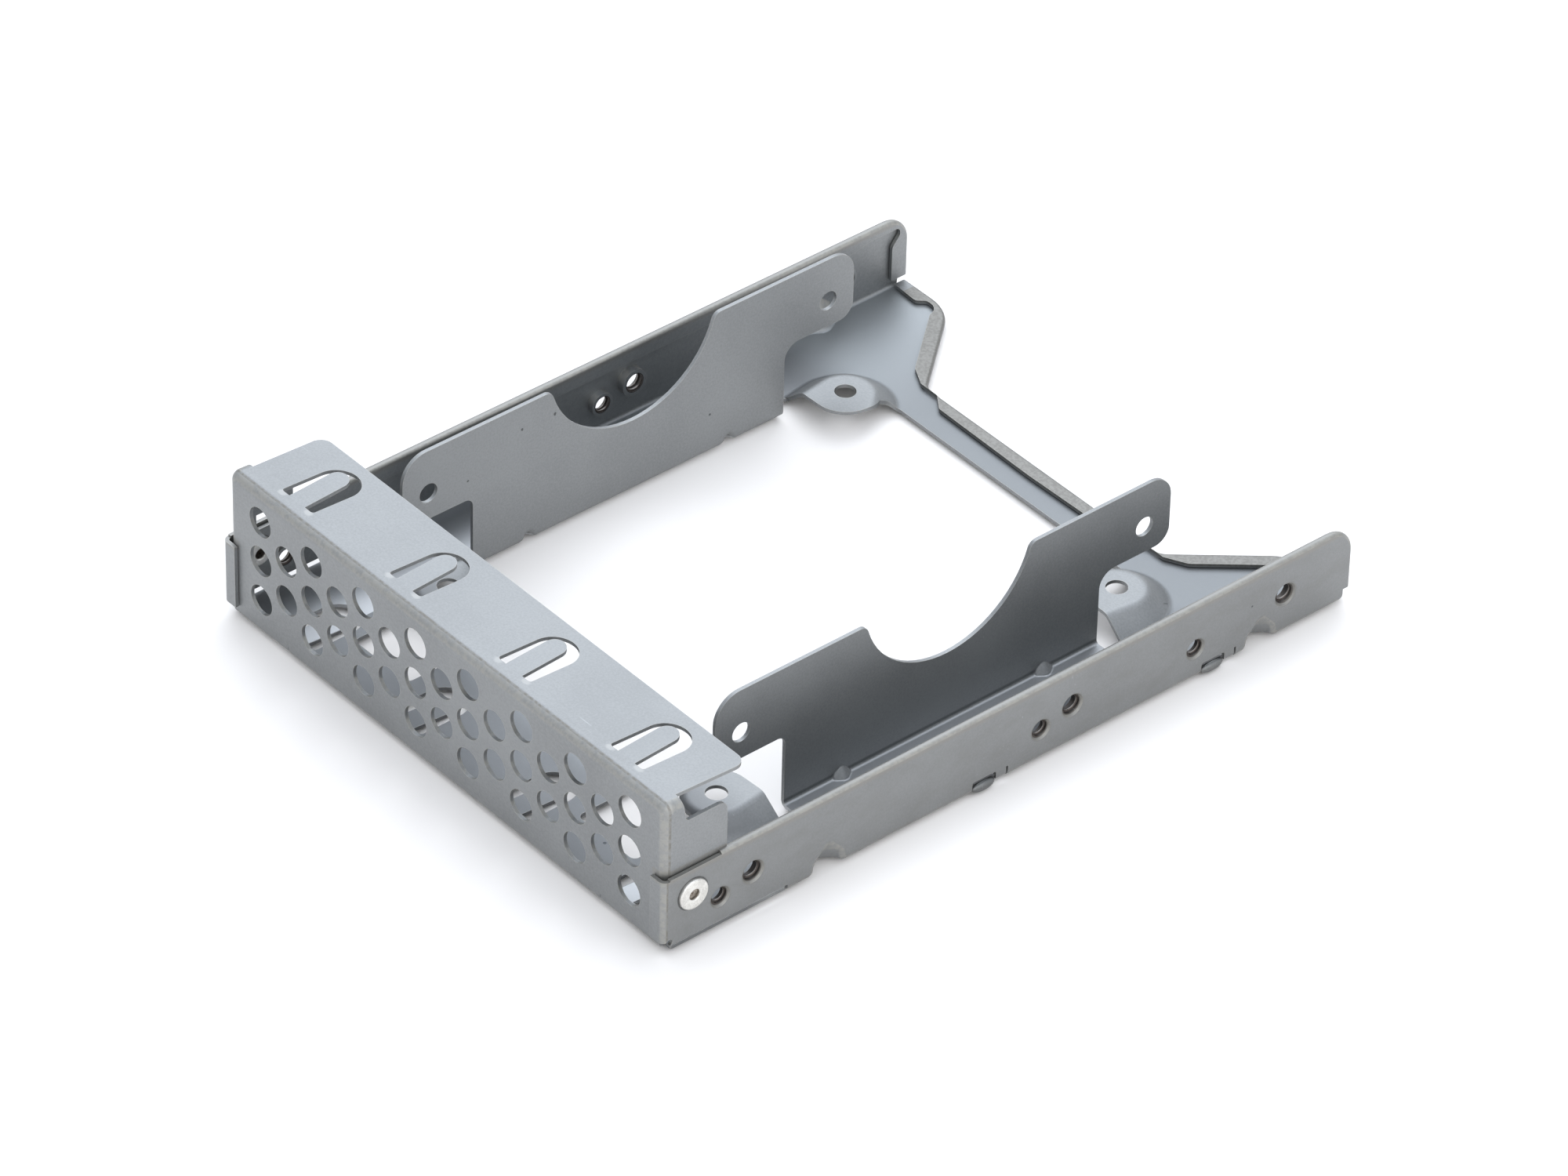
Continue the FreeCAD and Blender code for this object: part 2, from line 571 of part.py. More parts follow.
def floor_hem_line():
    """Inner edge of the hem along the floor's rear, from the wall to the middle, as plan corners."""
    flare, corner_point = flare_corners()
    slant = math.radians(FLARE_ANGLE_DEGREES)
    across = FLOOR_HEM_DEPTH / math.sin(slant)
    along = Vector(math.cos(slant), math.sin(slant), 0)
    notch_y = DEPTH - HEM_NOTCH_DEPTH
    notch_x = corner_point[0] + HEM_NOTCH_START
    notch_end = notch_x + HEM_NOTCH_LENGTH
    slant_top = Vector(corner_point[0] + across, DEPTH, 0) - along * HEM_SLANT_TOP_MARGIN
    slant_foot = Vector(flare[0] + across, STRUT_REAR_Y, 0) + along * HEM_SLANT_FOOT_MARGIN
    hollow_y = STRUT_REAR_Y - HEM_HOLLOW_DEPTH
    return [(HALF_WIDTH - WALL_BEND_OUTER, DEPTH - FLOOR_HEM_WALL_DEPTH),
            (notch_end + HEM_NOTCH_RAMP, DEPTH - FLOOR_HEM_DEPTH, HEM_BEND_RADIUS),
            (notch_end, notch_y, HEM_BEND_RADIUS), (notch_x, notch_y, 2 * HEM_BEND_RADIUS),
            (slant_top.x, slant_top.y, HEM_BEND_RADIUS), (slant_foot.x, slant_foot.y, 2 * HEM_BEND_RADIUS),
            (flare[0] + HEM_HOLLOW_AFTER, hollow_y, HEM_BEND_RADIUS),
            (flare[0] - HEM_HOLLOW_BEFORE, hollow_y, HEM_BEND_RADIUS),
            (STRUT_HEM_END_X, STRUT_REAR_Y - STRUT_HEM_END_DEPTH, HEM_BEND_RADIUS),
            (0, STRUT_REAR_Y - STRUT_HEM_DEPTH)]


def wall_outline(z_low):
    """Side outline of the wall, from its free front to the rear step, as (y, z) corners."""
    step_y = WALL_REAR_Y - WALL_REAR_STEP
    foot_y = step_y - 2 * WALL_REAR_FOOT_RADIUS
    front = TAB_FRONT_Y + WALL_BEND_OUTER
    return [(front, WALL_FREE_BOTTOM), (WALL_FREE_LENGTH, WALL_FREE_BOTTOM, WALL_FREE_CORNER_RADIUS),
            (WALL_FREE_LENGTH, z_low), (foot_y, z_low), (foot_y, 0), (step_y, 0, WALL_REAR_FOOT_RADIUS),
            (step_y, WALL_REAR_STEP_Z), (WALL_REAR_Y, WALL_REAR_STEP_Z),
            (WALL_REAR_Y, WALL_HEIGHT, WALL_REAR_CORNER_RADIUS), (HEM_START_Y, WALL_HEIGHT),
            (HEM_START_Y, WALL_FRONT_HEIGHT), (front, WALL_FRONT_HEIGHT)]


def wall():
    """Right outer wall with its bend and its front tab."""
    section = folded([(HALF_WIDTH - 2 * PAST, 0), (HALF_WIDTH, 0), (HALF_WIDTH, WALL_HEIGHT)], WALL_BEND_INNER)
    full = front_prism(section, 0, WALL_REAR_Y)
    bend_start = HALF_WIDTH - WALL_BEND_OUTER
    plate = full.common(side_prism(wall_outline(-PAST), bend_start, HALF_WIDTH + PAST))
    tab_section = folded([(HALF_WIDTH - TAB_WIDTH, TAB_FRONT_Y), (HALF_WIDTH, TAB_FRONT_Y),
                          (HALF_WIDTH, TAB_FRONT_Y + WALL_BEND_OUTER)], WALL_BEND_INNER)
    tab = plan_prism(tab_section, TAB_BOTTOM, TAB_TOP)
    return plate.fuse(tab)


def wall_hem_block():
    """Doubled edge along the wall's top and rear, with its outer edges rounded and its gap open."""
    inner_x = HALF_WIDTH - HEM_THICKNESS
    low = WALL_HEIGHT - HEM_DEPTH
    corner_low = WALL_HEIGHT - HEM_CORNER_DEPTH
    corner_y = WALL_REAR_Y - HEM_CORNER_DEPTH
    corner_start = WALL_REAR_Y - HEM_CORNER_START
    rear_y = WALL_REAR_Y - REAR_HEM_DEPTH
    rear_top = WALL_HEIGHT - REAR_HEM_DROP
    region = [(HEM_START_Y, WALL_HEIGHT), (WALL_REAR_Y, WALL_HEIGHT, WALL_REAR_CORNER_RADIUS),
              (WALL_REAR_Y, WALL_REAR_STEP_Z), (rear_y, WALL_REAR_STEP_Z),
              (rear_y, rear_top, REAR_HEM_RADIUS), (corner_y, rear_top + REAR_HEM_RAMP, HEM_INNER_RADIUS),
              (corner_y, corner_low, HEM_INNER_RADIUS),
              (corner_start + HEM_CORNER_RAMP, corner_low, HEM_LINE_RADIUS),
              (corner_start, low, HEM_LINE_RADIUS), (HEM_START_Y, low)]
    slab = side_prism(region, inner_x, HALF_WIDTH)

    def is_outer(edge):
        box = edge.BoundBox
        on_face = box.XLength < 1e-4
        top = box.ZMin > WALL_HEIGHT - 1e-4
        rear = box.YMin > WALL_REAR_Y - 1e-4
        bend = box.YMin > WALL_REAR_Y - WALL_REAR_CORNER_RADIUS - 1e-3 and \
            box.ZMin > WALL_HEIGHT - WALL_REAR_CORNER_RADIUS - 1e-3 and \
            box.YMax > WALL_REAR_Y - 1e-3 and box.ZMax > WALL_HEIGHT - 1e-3
        return on_face and (top or rear or bend)

    slab = cut_edges(slab, HEM_EDGE_ROUND, is_outer)
    ring = SHEET
    gap = side_prism([(HEM_START_Y - PAST, -PAST), (HEM_START_Y - PAST, WALL_HEIGHT - ring),
                      (WALL_REAR_Y - ring, WALL_HEIGHT - ring, WALL_REAR_CORNER_RADIUS - ring),
                      (WALL_REAR_Y - ring, -PAST)], WALL_INNER_X - HEM_GAP, WALL_INNER_X)
    return slab.cut(gap), side_prism(region, WALL_INNER_X - PAST, HALF_WIDTH + PAST)


def hemmed_wall():
    """Right wall with its hem in place of the plain edge."""
    hem, region = wall_hem_block()
    return wall().cut(region).fuse(hem)


def collar(y, z, bore, thickness, height):
    """Ring drawn inwards round a wall hole, before its hole is cut."""
    return cylinder_x(y, z, bore / 2 + thickness, WALL_INNER_X - height, HALF_WIDTH - SHEET / 2)


def collar_cut(y, z, bore):
    """Hole through a wall, with a bevelled entry on the outside."""
    radius = bore / 2
    wide = radius + COLLAR_ENTRY
    inner_end = WALL_INNER_X - 2 * PAST
    outer_end = HALF_WIDTH + PAST
    section = [(inner_end, 0), (inner_end, radius), (HALF_WIDTH - COLLAR_ENTRY, radius), (HALF_WIDTH, wide),
               (outer_end, wide), (outer_end, 0)]
    face = Part.Face(outline(section, lambda u, v: Vector(u, y + v, z)))
    return face.revolve(Vector(0, y, z), Vector(1, 0, 0), 360)


def pierce_walls(body):
    """Add the collars and cut every hole of the wall."""
    rows = ((LARGE_COLLAR_Y, LARGE_COLLAR_Z, LARGE_COLLAR_BORE, LARGE_COLLAR_WALL, LARGE_COLLAR_HEIGHT),
            (SMALL_COLLAR_Y, SMALL_COLLAR_Z, SMALL_COLLAR_BORE, SMALL_COLLAR_WALL, SMALL_COLLAR_HEIGHT))
    for places, z, bore, thickness, height in rows:
        for y in places:
            body = body.fuse(collar(y, z, bore, thickness, height)).cut(collar_cut(y, z, bore))
    return body.cut(cylinder_x(RIVET_Y, RIVET_Z, RIVET_SHANK_DIAMETER / 2, EAR_INNER_X - PAST, HALF_WIDTH + PAST))


def corner_block(edge_x, inward, y, inset, bend, rise, reach, half):
    """Solid that fills a bend's inside from one face of the sheet on, round the place y."""
    near = edge_x + inward * inset
    far = edge_x + inward * reach
    return front_prism([(near, inset, bend), (near, rise), (far, rise), (far, inset)], y - half, y + half)


def punch(edge_x, inward, y, rise, reach, half, shoulder, crest_radius):
    """Bar with a round crest that lies across a bend, from the wall's height rise to the floor's depth reach."""
    slope = rise / reach
    start_x = edge_x - inward * PAST
    lift = slope * PAST
    arch = [(y - half, -PAST), (y + half, -PAST), (y + half, shoulder + lift, crest_radius),
            (y, rise + lift, crest_radius), (y - half, shoulder + lift, crest_radius)]
    face = Part.Face(outline(arch, lambda u, v: Vector(start_x, u, v)))
    run = reach + 2 * PAST
    return face.extrude(Vector(inward * run, 0, -slope * run))


def dart(edge_x, inward, y, rise, reach, half_width, shoulder, crest_radius, edge_round):
    """Piece of a bend with a dart pressed into it, and the block whose place it takes.

    The bend's virtual edge is at edge_x on the floor's underside, and inward is +1 or -1 for the
    side of the edge on which the sheet lies.
    """
    half = half_width + SHEET + DART_MARGIN
    tall = rise + SHEET + DART_MARGIN
    deep = reach + SHEET + DART_MARGIN
    lift = SHEET * math.hypot(rise, reach) / reach
    pressed = punch(edge_x, inward, y, rise, reach, half_width, shoulder, crest_radius)
    backed = punch(edge_x, inward, y, rise + lift, reach * (rise + lift) / rise, half_width + SHEET,
                   shoulder + lift, crest_radius + SHEET)
    faces = []
    for inset, bend, tool in ((0, WALL_BEND_OUTER, pressed), (SHEET, WALL_BEND_INNER, backed)):
        solid = corner_block(edge_x, inward, y, inset, bend, tall, deep, half).cut(tool)

        def is_rim(edge):
            box = edge.BoundBox
            middle = edge.valueAt((edge.FirstParameter + edge.LastParameter) / 2)
            depth = (middle.x - edge_x) * inward
            inside = abs(middle.y - y) < half - 0.1 and middle.z < tall - 0.1 and depth < deep - 0.1
            on_wall = box.XLength < 1e-4 and abs(depth - inset) < 1e-4
            on_floor = box.ZLength < 1e-4 and abs(middle.z - inset) < 1e-4
            on_bend = depth < WALL_BEND_OUTER and middle.z < WALL_BEND_OUTER
            return inside and (on_wall or on_floor or on_bend)

        faces.append(cut_edges(solid, edge_round + SHEET - inset, is_rim))
    outside = edge_x - inward * PAST
    inside = edge_x + inward * deep
    taken = front_prism([(outside, -PAST), (outside, tall), (inside, tall), (inside, -PAST)], y - half, y + half)
    return faces[0].cut(faces[1]), taken


def lance_tongue(body, y):
    """Set a strip of the wall's foot inwards under a narrow slot, with a notch and a slit behind it."""
    end = y + TONGUE_LENGTH
    notch_end = end + NOTCH_LENGTH
    x_from = HALF_WIDTH - WALL_BEND_OUTER
    x_to = HALF_WIDTH + PAST
    inset = Vector(-TONGUE_INSET, 0, 0)
    strip = body.common(block(x_from + TONGUE_INSET, x_to, y, end, -PAST, TONGUE_TOP))
    half_slot = TONGUE_SLOT_HEIGHT / 2
    slot_low = TONGUE_TOP - half_slot
    slot_high = TONGUE_TOP + TONGUE_SLOT_HEIGHT
    slot = side_prism([(y, slot_low), (end, slot_low), (end, slot_high, half_slot), (y, slot_high, half_slot)],
                      x_from, x_to)
    body = body.cut(block(x_from + TONGUE_INSET, x_to, y, end, -PAST, TONGUE_TOP)).cut(slot)
    body = body.fuse(strip.translate(inset))
    body = body.cut(block(x_from, x_to, end, notch_end, -PAST, NOTCH_TOP))
    return body.cut(block(x_from, x_to, notch_end - SLIT_WIDTH, notch_end, -PAST, SLIT_TOP))


def upright():
    """Right upright with its bend out of the floor, its round cut-out and its two screw holes."""
    section = folded([(UPRIGHT_INNER_X, UPRIGHT_TOP), (UPRIGHT_INNER_X, 0), (UPRIGHT_INNER_X + 2 * PAST, 0)],
                     WALL_BEND_INNER)
    front = DRIVE_HOLE_FRONT_Y - LOBE_FRONT_MARGIN
    rear = DRIVE_HOLE_REAR_Y + LOBE_REAR_MARGIN
    full = front_prism(section, front - PAST, rear + PAST)
    shape = side_prism([
        (STEM_FRONT_Y, -PAST), (STEM_FRONT_Y, LOBE_BOTTOM, STEM_FRONT_FILLET),
        (front, LOBE_BOTTOM, LOBE_BOTTOM_RADIUS), (front, UPRIGHT_TOP, LOBE_FRONT_RADIUS),
        (rear, UPRIGHT_TOP, LOBE_REAR_RADIUS), (rear, LOBE_BOTTOM, LOBE_BOTTOM_RADIUS),
        (STEM_REAR_Y, LOBE_BOTTOM, STEM_REAR_FILLET), (STEM_REAR_Y, -PAST)],
        UPRIGHT_INNER_X - PAST, UPRIGHT_INNER_X + WALL_BEND_OUTER)
    body = full.common(shape).cut(cutout())
    for y in DRIVE_HOLE_Y:
        body = body.cut(cylinder_x(y, DRIVE_HOLE_Z, DRIVE_HOLE_DIAMETER / 2,
                                   UPRIGHT_INNER_X - PAST, UPRIGHT_OUTER_X + PAST))
    return body


def cutout():
    """Round cut-out of an upright, with both lips rounded into the top edge."""
    cutout_y = MIDDLE_Y + CUTOUT_OFFSET
    centre = Vector(0, cutout_y, CUTOUT_BOTTOM + CUTOUT_RADIUS)
    lip_z = UPRIGHT_TOP - CUTOUT_LIP_RADIUS
    reach = CUTOUT_RADIUS + CUTOUT_LIP_RADIUS
    lip_run = math.sqrt(reach ** 2 - (centre.z - lip_z) ** 2)
    x = UPRIGHT_INNER_X - PAST
    at = []
    for side in (-1, 1):
        lip = Vector(0, cutout_y + side * lip_run, lip_z)
        touch = centre + (lip - centre) * (CUTOUT_RADIUS / reach)
        crest = lip + Vector(0, 0, CUTOUT_LIP_RADIUS)
        bulge = lip + unit((touch - lip) + (crest - lip)) * CUTOUT_LIP_RADIUS
        at.append([Vector(x, p.y, p.z) for p in (crest, bulge, touch)])
    (crest_a, bulge_a, touch_a), (crest_b, bulge_b, touch_b) = at
    bottom = Vector(x, cutout_y, CUTOUT_BOTTOM)
    above_a, above_b = crest_a + Vector(0, 0, PAST), crest_b + Vector(0, 0, PAST)
    edges = [Part.Arc(crest_a, bulge_a, touch_a).toShape(), Part.Arc(touch_a, bottom, touch_b).toShape(),
             Part.Arc(touch_b, bulge_b, crest_b).toShape(), Part.LineSegment(crest_b, above_b).toShape(),
             Part.LineSegment(above_b, above_a).toShape(), Part.LineSegment(above_a, crest_a).toShape()]
    return Part.Face(Part.Wire(edges)).extrude(Vector(SHEET + 2 * PAST, 0, 0))


def hemmed_floor():
    """Right half of the floor with the hem along its rear edge."""
    flare, corner_point = flare_corners()
    right = HALF_WIDTH - WALL_BEND_OUTER
    rear = [(0, STRUT_REAR_Y), flare, corner_point, (right, DEPTH)]
    region = rear + floor_hem_line()
    slab = plan_prism(region, 0, HEM_THICKNESS)

    def is_outer(edge):
        box = edge.BoundBox
        if box.ZLength > 1e-4:
            return False
        middle = edge.valueAt((edge.FirstParameter + edge.LastParameter) / 2)
        return rear_distance(middle.x, middle.y) < 0.05

    slab = cut_edges(slab, HEM_EDGE_ROUND, is_outer)
    shift = SHEET * math.tan(math.radians(FLARE_ANGLE_DEGREES) / 2)
    inset = [(0, STRUT_REAR_Y - SHEET), (flare[0] + shift, STRUT_REAR_Y - SHEET, flare[2] + SHEET),
             (corner_point[0] + shift, DEPTH - SHEET, corner_point[2] - SHEET),
             (right + PAST, DEPTH - SHEET), (right + PAST, STRUT_FRONT_Y), (0, STRUT_FRONT_Y)]
    slab = slab.cut(plan_prism(inset, SHEET, SHEET + HEM_GAP))
    return floor().cut(plan_prism(region, -PAST, PAST)).fuse(slab)


def rear_distance(x, y):
    """Distance from a plan point to the floor's rear outline, which runs on past both its ends."""
    flare, corner_point = flare_corners()
    far = 2 * WIDTH
    rear = outline([(-far, STRUT_REAR_Y), flare, corner_point, (far, DEPTH), (far, -far), (-far, -far)],
                   lambda u, v: Vector(u, v, 0))
    point = Part.Vertex(Vector(x, y, 0))
    return point.distToShape(rear)[0]


def half_tray():
    """Everything of the tray on the right of the middle plane."""
    body = front_shell().common(front_keep())
    split = EAR_FOOT_BOTTOM - LOWER_FOLD_SPLIT
    body = body.cut(block(-PAST, HALF_WIDTH, -PAST, FLANGE_REACH + PAST, -PAST, split))
    lower = front_fold().cut(block(-PAST, HALF_WIDTH + PAST, -PAST, 2 * PAST, split, PANEL_HEIGHT))
    body = body.fuse(lower).cut(Part.makeCompound(grille_holes()))
    body = body.fuse(hemmed_floor())
    body = bend_fingers(body)
    body = body.fuse(hemmed_wall()).fuse(upright())
    wall_dart = (WALL_DART_RISE, WALL_DART_REACH, WALL_DART_HALF_WIDTH, WALL_DART_SHOULDER,
                 WALL_DART_CREST_RADIUS, WALL_DART_EDGE_ROUND)
    upright_dart = (UPRIGHT_DART_RISE, UPRIGHT_DART_REACH, UPRIGHT_DART_HALF_WIDTH, UPRIGHT_DART_SHOULDER,
                    UPRIGHT_DART_CREST_RADIUS, UPRIGHT_DART_EDGE_ROUND)
    darts = [dart(HALF_WIDTH, -1, y, *wall_dart) for y in WALL_DART_Y]
    darts += [dart(UPRIGHT_INNER_X, 1, y, *upright_dart) for y in UPRIGHT_DART_Y]
    for pressed, taken in darts:
        body = body.cut(taken).fuse(pressed)
    for y in TONGUE_Y:
        body = lance_tongue(body, y)
    for y in DRIVE_HOLE_Y:
        body = body.cut(cylinder_z(BOSS_X, y, BOSS_HOLE_DIAMETER / 2, -PAST, BOSS_RISE + PAST))
    body = pierce_walls(body)
    relief_z = TAB_BOTTOM
    return body.cut(cylinder_x(TAB_FRONT_Y + WALL_BEND_OUTER, relief_z, RELIEF_RADIUS, WALL_INNER_X - EAR_GAP / 2,
                               HALF_WIDTH + PAST))


def tray():
    """The whole folded sheet: two mirrored halves, with the one slot that only the left ear has."""
    right = half_tray()
    whole = right.fuse(mirrored(right)).removeSplitter()
    slot = block(-EAR_OUTER_X - 0.1, -EAR_INNER_X + 0.1, LEFT_EAR_SLOT_FRONT, EAR_DEPTH + PAST,
                 LEFT_EAR_SLOT_BOTTOM, LEFT_EAR_SLOT_TOP)
    return whole.cut(slot)


def rivet():
    """Right rivet: head outside the wall, shank through wall and ear, rolled tail inside."""
    shank = RIVET_SHANK_DIAMETER / 2
    head = RIVET_HEAD_DIAMETER / 2
    tail = RIVET_TAIL_DIAMETER / 2
    bore = RIVET_BORE_DIAMETER / 2
    tail_end = EAR_INNER_X - RIVET_TAIL_HEIGHT
    head_end = HALF_WIDTH + RIVET_HEAD_HEIGHT
    section = [(tail_end, bore, RIVET_EDGE_ROUND), (tail_end, tail, RIVET_ROLL_ROUND), (EAR_INNER_X, tail),
               (EAR_INNER_X, shank),
               (HALF_WIDTH, shank), (HALF_WIDTH, head), (head_end, head, RIVET_EDGE_ROUND),
               (head_end, bore, RIVET_EDGE_ROUND)]
    face = Part.Face(outline(section, lambda u, v: Vector(u, RIVET_Y + v, RIVET_Z)))
    return face.revolve(Vector(0, RIVET_Y, RIVET_Z), Vector(1, 0, 0), 360)


def standing(shape):
    """Move a finished shape so that the origin is under the middle of the cage's footprint."""
    return shape.translate(Vector(0, -(TAB_FRONT_Y + WALL_REAR_Y) / 2, FINGER_DROP))


def main():
    """Build the three pieces and write one STEP file for each."""
    os.makedirs("parts", exist_ok=True)
    pieces = {"tray": tray(), "rivet_right": rivet(), "rivet_left": mirrored(rivet())}
    for name, shape in pieces.items():
        shape = standing(shape)
        box = shape.BoundBox
        print(name, "solids", len(shape.Solids), "valid", shape.isValid(), "volume %.1f" % shape.Volume,
              "x %.2f %.2f y %.2f %.2f z %.2f %.2f" % (box.XMin, box.XMax, box.YMin, box.YMax, box.ZMin, box.ZMax))
        shape.exportStep("parts/%s.step" % name)


main()
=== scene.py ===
"""Looks of a folded sheet steel drive cage: zinc finish, rivets, screw threads and a soft studio."""
from __future__ import annotations

import logging
import math
from collections.abc import Iterable
from dataclasses import dataclass
from enum import Enum
from functools import reduce

import bmesh
import bpy
import numpy as np
from mathutils import Matrix, Vector


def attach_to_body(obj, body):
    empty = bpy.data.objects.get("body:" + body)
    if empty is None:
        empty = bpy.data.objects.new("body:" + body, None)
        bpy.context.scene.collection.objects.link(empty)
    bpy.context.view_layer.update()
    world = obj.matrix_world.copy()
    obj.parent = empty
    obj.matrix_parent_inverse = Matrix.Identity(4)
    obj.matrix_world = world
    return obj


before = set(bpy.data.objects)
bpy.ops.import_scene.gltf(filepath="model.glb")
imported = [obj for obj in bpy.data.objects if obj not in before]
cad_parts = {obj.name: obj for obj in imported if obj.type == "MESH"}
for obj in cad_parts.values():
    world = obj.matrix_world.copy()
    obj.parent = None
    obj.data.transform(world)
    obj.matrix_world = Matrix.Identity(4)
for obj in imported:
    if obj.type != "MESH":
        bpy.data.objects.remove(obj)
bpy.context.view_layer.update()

LOG = logging.getLogger("drive_cage")
MM = 0.001
MERGE_DISTANCE = 1e-7


class Operation(Enum):
    """Math node operations that the field expressions use."""

    ADD = "ADD"
    SUBTRACT = "SUBTRACT"
    MULTIPLY = "MULTIPLY"
    POWER = "POWER"
    ABSOLUTE = "ABSOLUTE"
    MAXIMUM = "MAXIMUM"


class Shader:
    """One material or world and its node tree."""

    def __init__(self, name: str, kind: str = "materials") -> None:
        """Start an empty tree.

        Args:
            name: the material's or the world's name.
            kind: "materials" or "worlds".
        """
        self.owner = getattr(bpy.data, kind).new(name)
        self.owner.use_nodes = True
        self.tree = self.owner.node_tree
        self.tree.nodes.clear()

    def add(self, kind: str, settings: dict | None = None, inputs: dict | None = None) -> bpy.types.Node:
        """Add a node of any type.

        Args:
            kind: the node's type name.
            settings: properties that are set first.
            inputs: socket names or numbers, with a value, a socket or a field for each.

        Returns:
            The new node.
        """
        node = self.tree.nodes.new(kind)
        for key, value in (settings or {}).items():
            setattr(node, key, value)
        for key, value in (inputs or {}).items():
            self.feed(node.inputs[key], value)
        return node

    def feed(self, socket: bpy.types.NodeSocket, value: object) -> None:
        """Link a socket or a field to an input, or set the input's own value."""
        if isinstance(value, Field):
            value = value.socket
        if isinstance(value, bpy.types.NodeSocket):
            self.tree.links.new(value, socket)
        else:
            socket.default_value = value

    def finish(self, surface: bpy.types.NodeSocket) -> bpy.types.ID:
        """Connect the surface to the output and return the material or the world."""
        kind = "World" if isinstance(self.owner, bpy.types.World) else "Material"
        self.add("ShaderNodeOutput" + kind, inputs={"Surface": surface})
        return self.owner


class Field:
    """A number that varies over a surface, and takes part in Python sums."""

    def __init__(self, shader: Shader, socket: bpy.types.NodeSocket) -> None:
        """Wrap a socket of a shader's tree."""
        self.shader = shader
        self.socket = socket

    def math(self, operation: Operation, first: object, second: object = 0.0) -> Field:
        """Add a Math node and return its result as a field."""
        node = self.shader.add("ShaderNodeMath", {"operation": operation.value}, {0: first, 1: second})
        return Field(self.shader, node.outputs[0])

    def __add__(self, other: object) -> Field:
        """Sum."""
        return self.math(Operation.ADD, self, other)

    __radd__ = __add__

    def __sub__(self, other: object) -> Field:
        """Difference."""
        return self.math(Operation.SUBTRACT, self, other)

    def __rsub__(self, other: object) -> Field:
        """Difference from a value."""
        return self.math(Operation.SUBTRACT, other, self)

    def __mul__(self, other: object) -> Field:
        """Product."""
        return self.math(Operation.MULTIPLY, self, other)

    __rmul__ = __mul__

    def __pow__(self, other: object) -> Field:
        """Power."""
        return self.math(Operation.POWER, self, other)

    def __abs__(self) -> Field:
        """Size without sign."""
        return self.math(Operation.ABSOLUTE, self)

    def maximum(self, other: object) -> Field:
        """The larger of two fields."""
        return self.math(Operation.MAXIMUM, self, other)

    def between(self, low: float, high: float) -> Field:
        """Smooth step: 0 at low, 1 at high."""
        node = self.shader.add("ShaderNodeMapRange", {"interpolation_type": "SMOOTHSTEP", "clamp": True},
                               {"Value": self, "From Min": low, "From Max": high})
        return Field(self.shader, node.outputs["Result"])

    def below(self, low: float, high: float) -> Field:
        """Smooth step down: 1 at low, 0 at high."""
        return 1.0 - self.between(low, high)

    def band(self, start: float, full: float, fade: float, end: float) -> Field:
        """Smooth band: 0 at start, 1 from full to fade, 0 at end."""
        return self.between(start, full) * self.below(fade, end)


def largest(fields: Iterable[Field]) -> Field:
    """The largest of several fields at each point."""
    return reduce(Field.maximum, fields)


@dataclass(frozen=True)
class Spot:
    """Where a point of the skin lies, in millimetres, and which way it faces.

    Side is the distance from the middle plane, and facing holds the three parts of the direction
    without their signs, so a mask on them is the same on the left and on the right.
    """

    across: Field
    along: Field
    height: Field
    side: Field
    facing: tuple[Field, Field, Field]


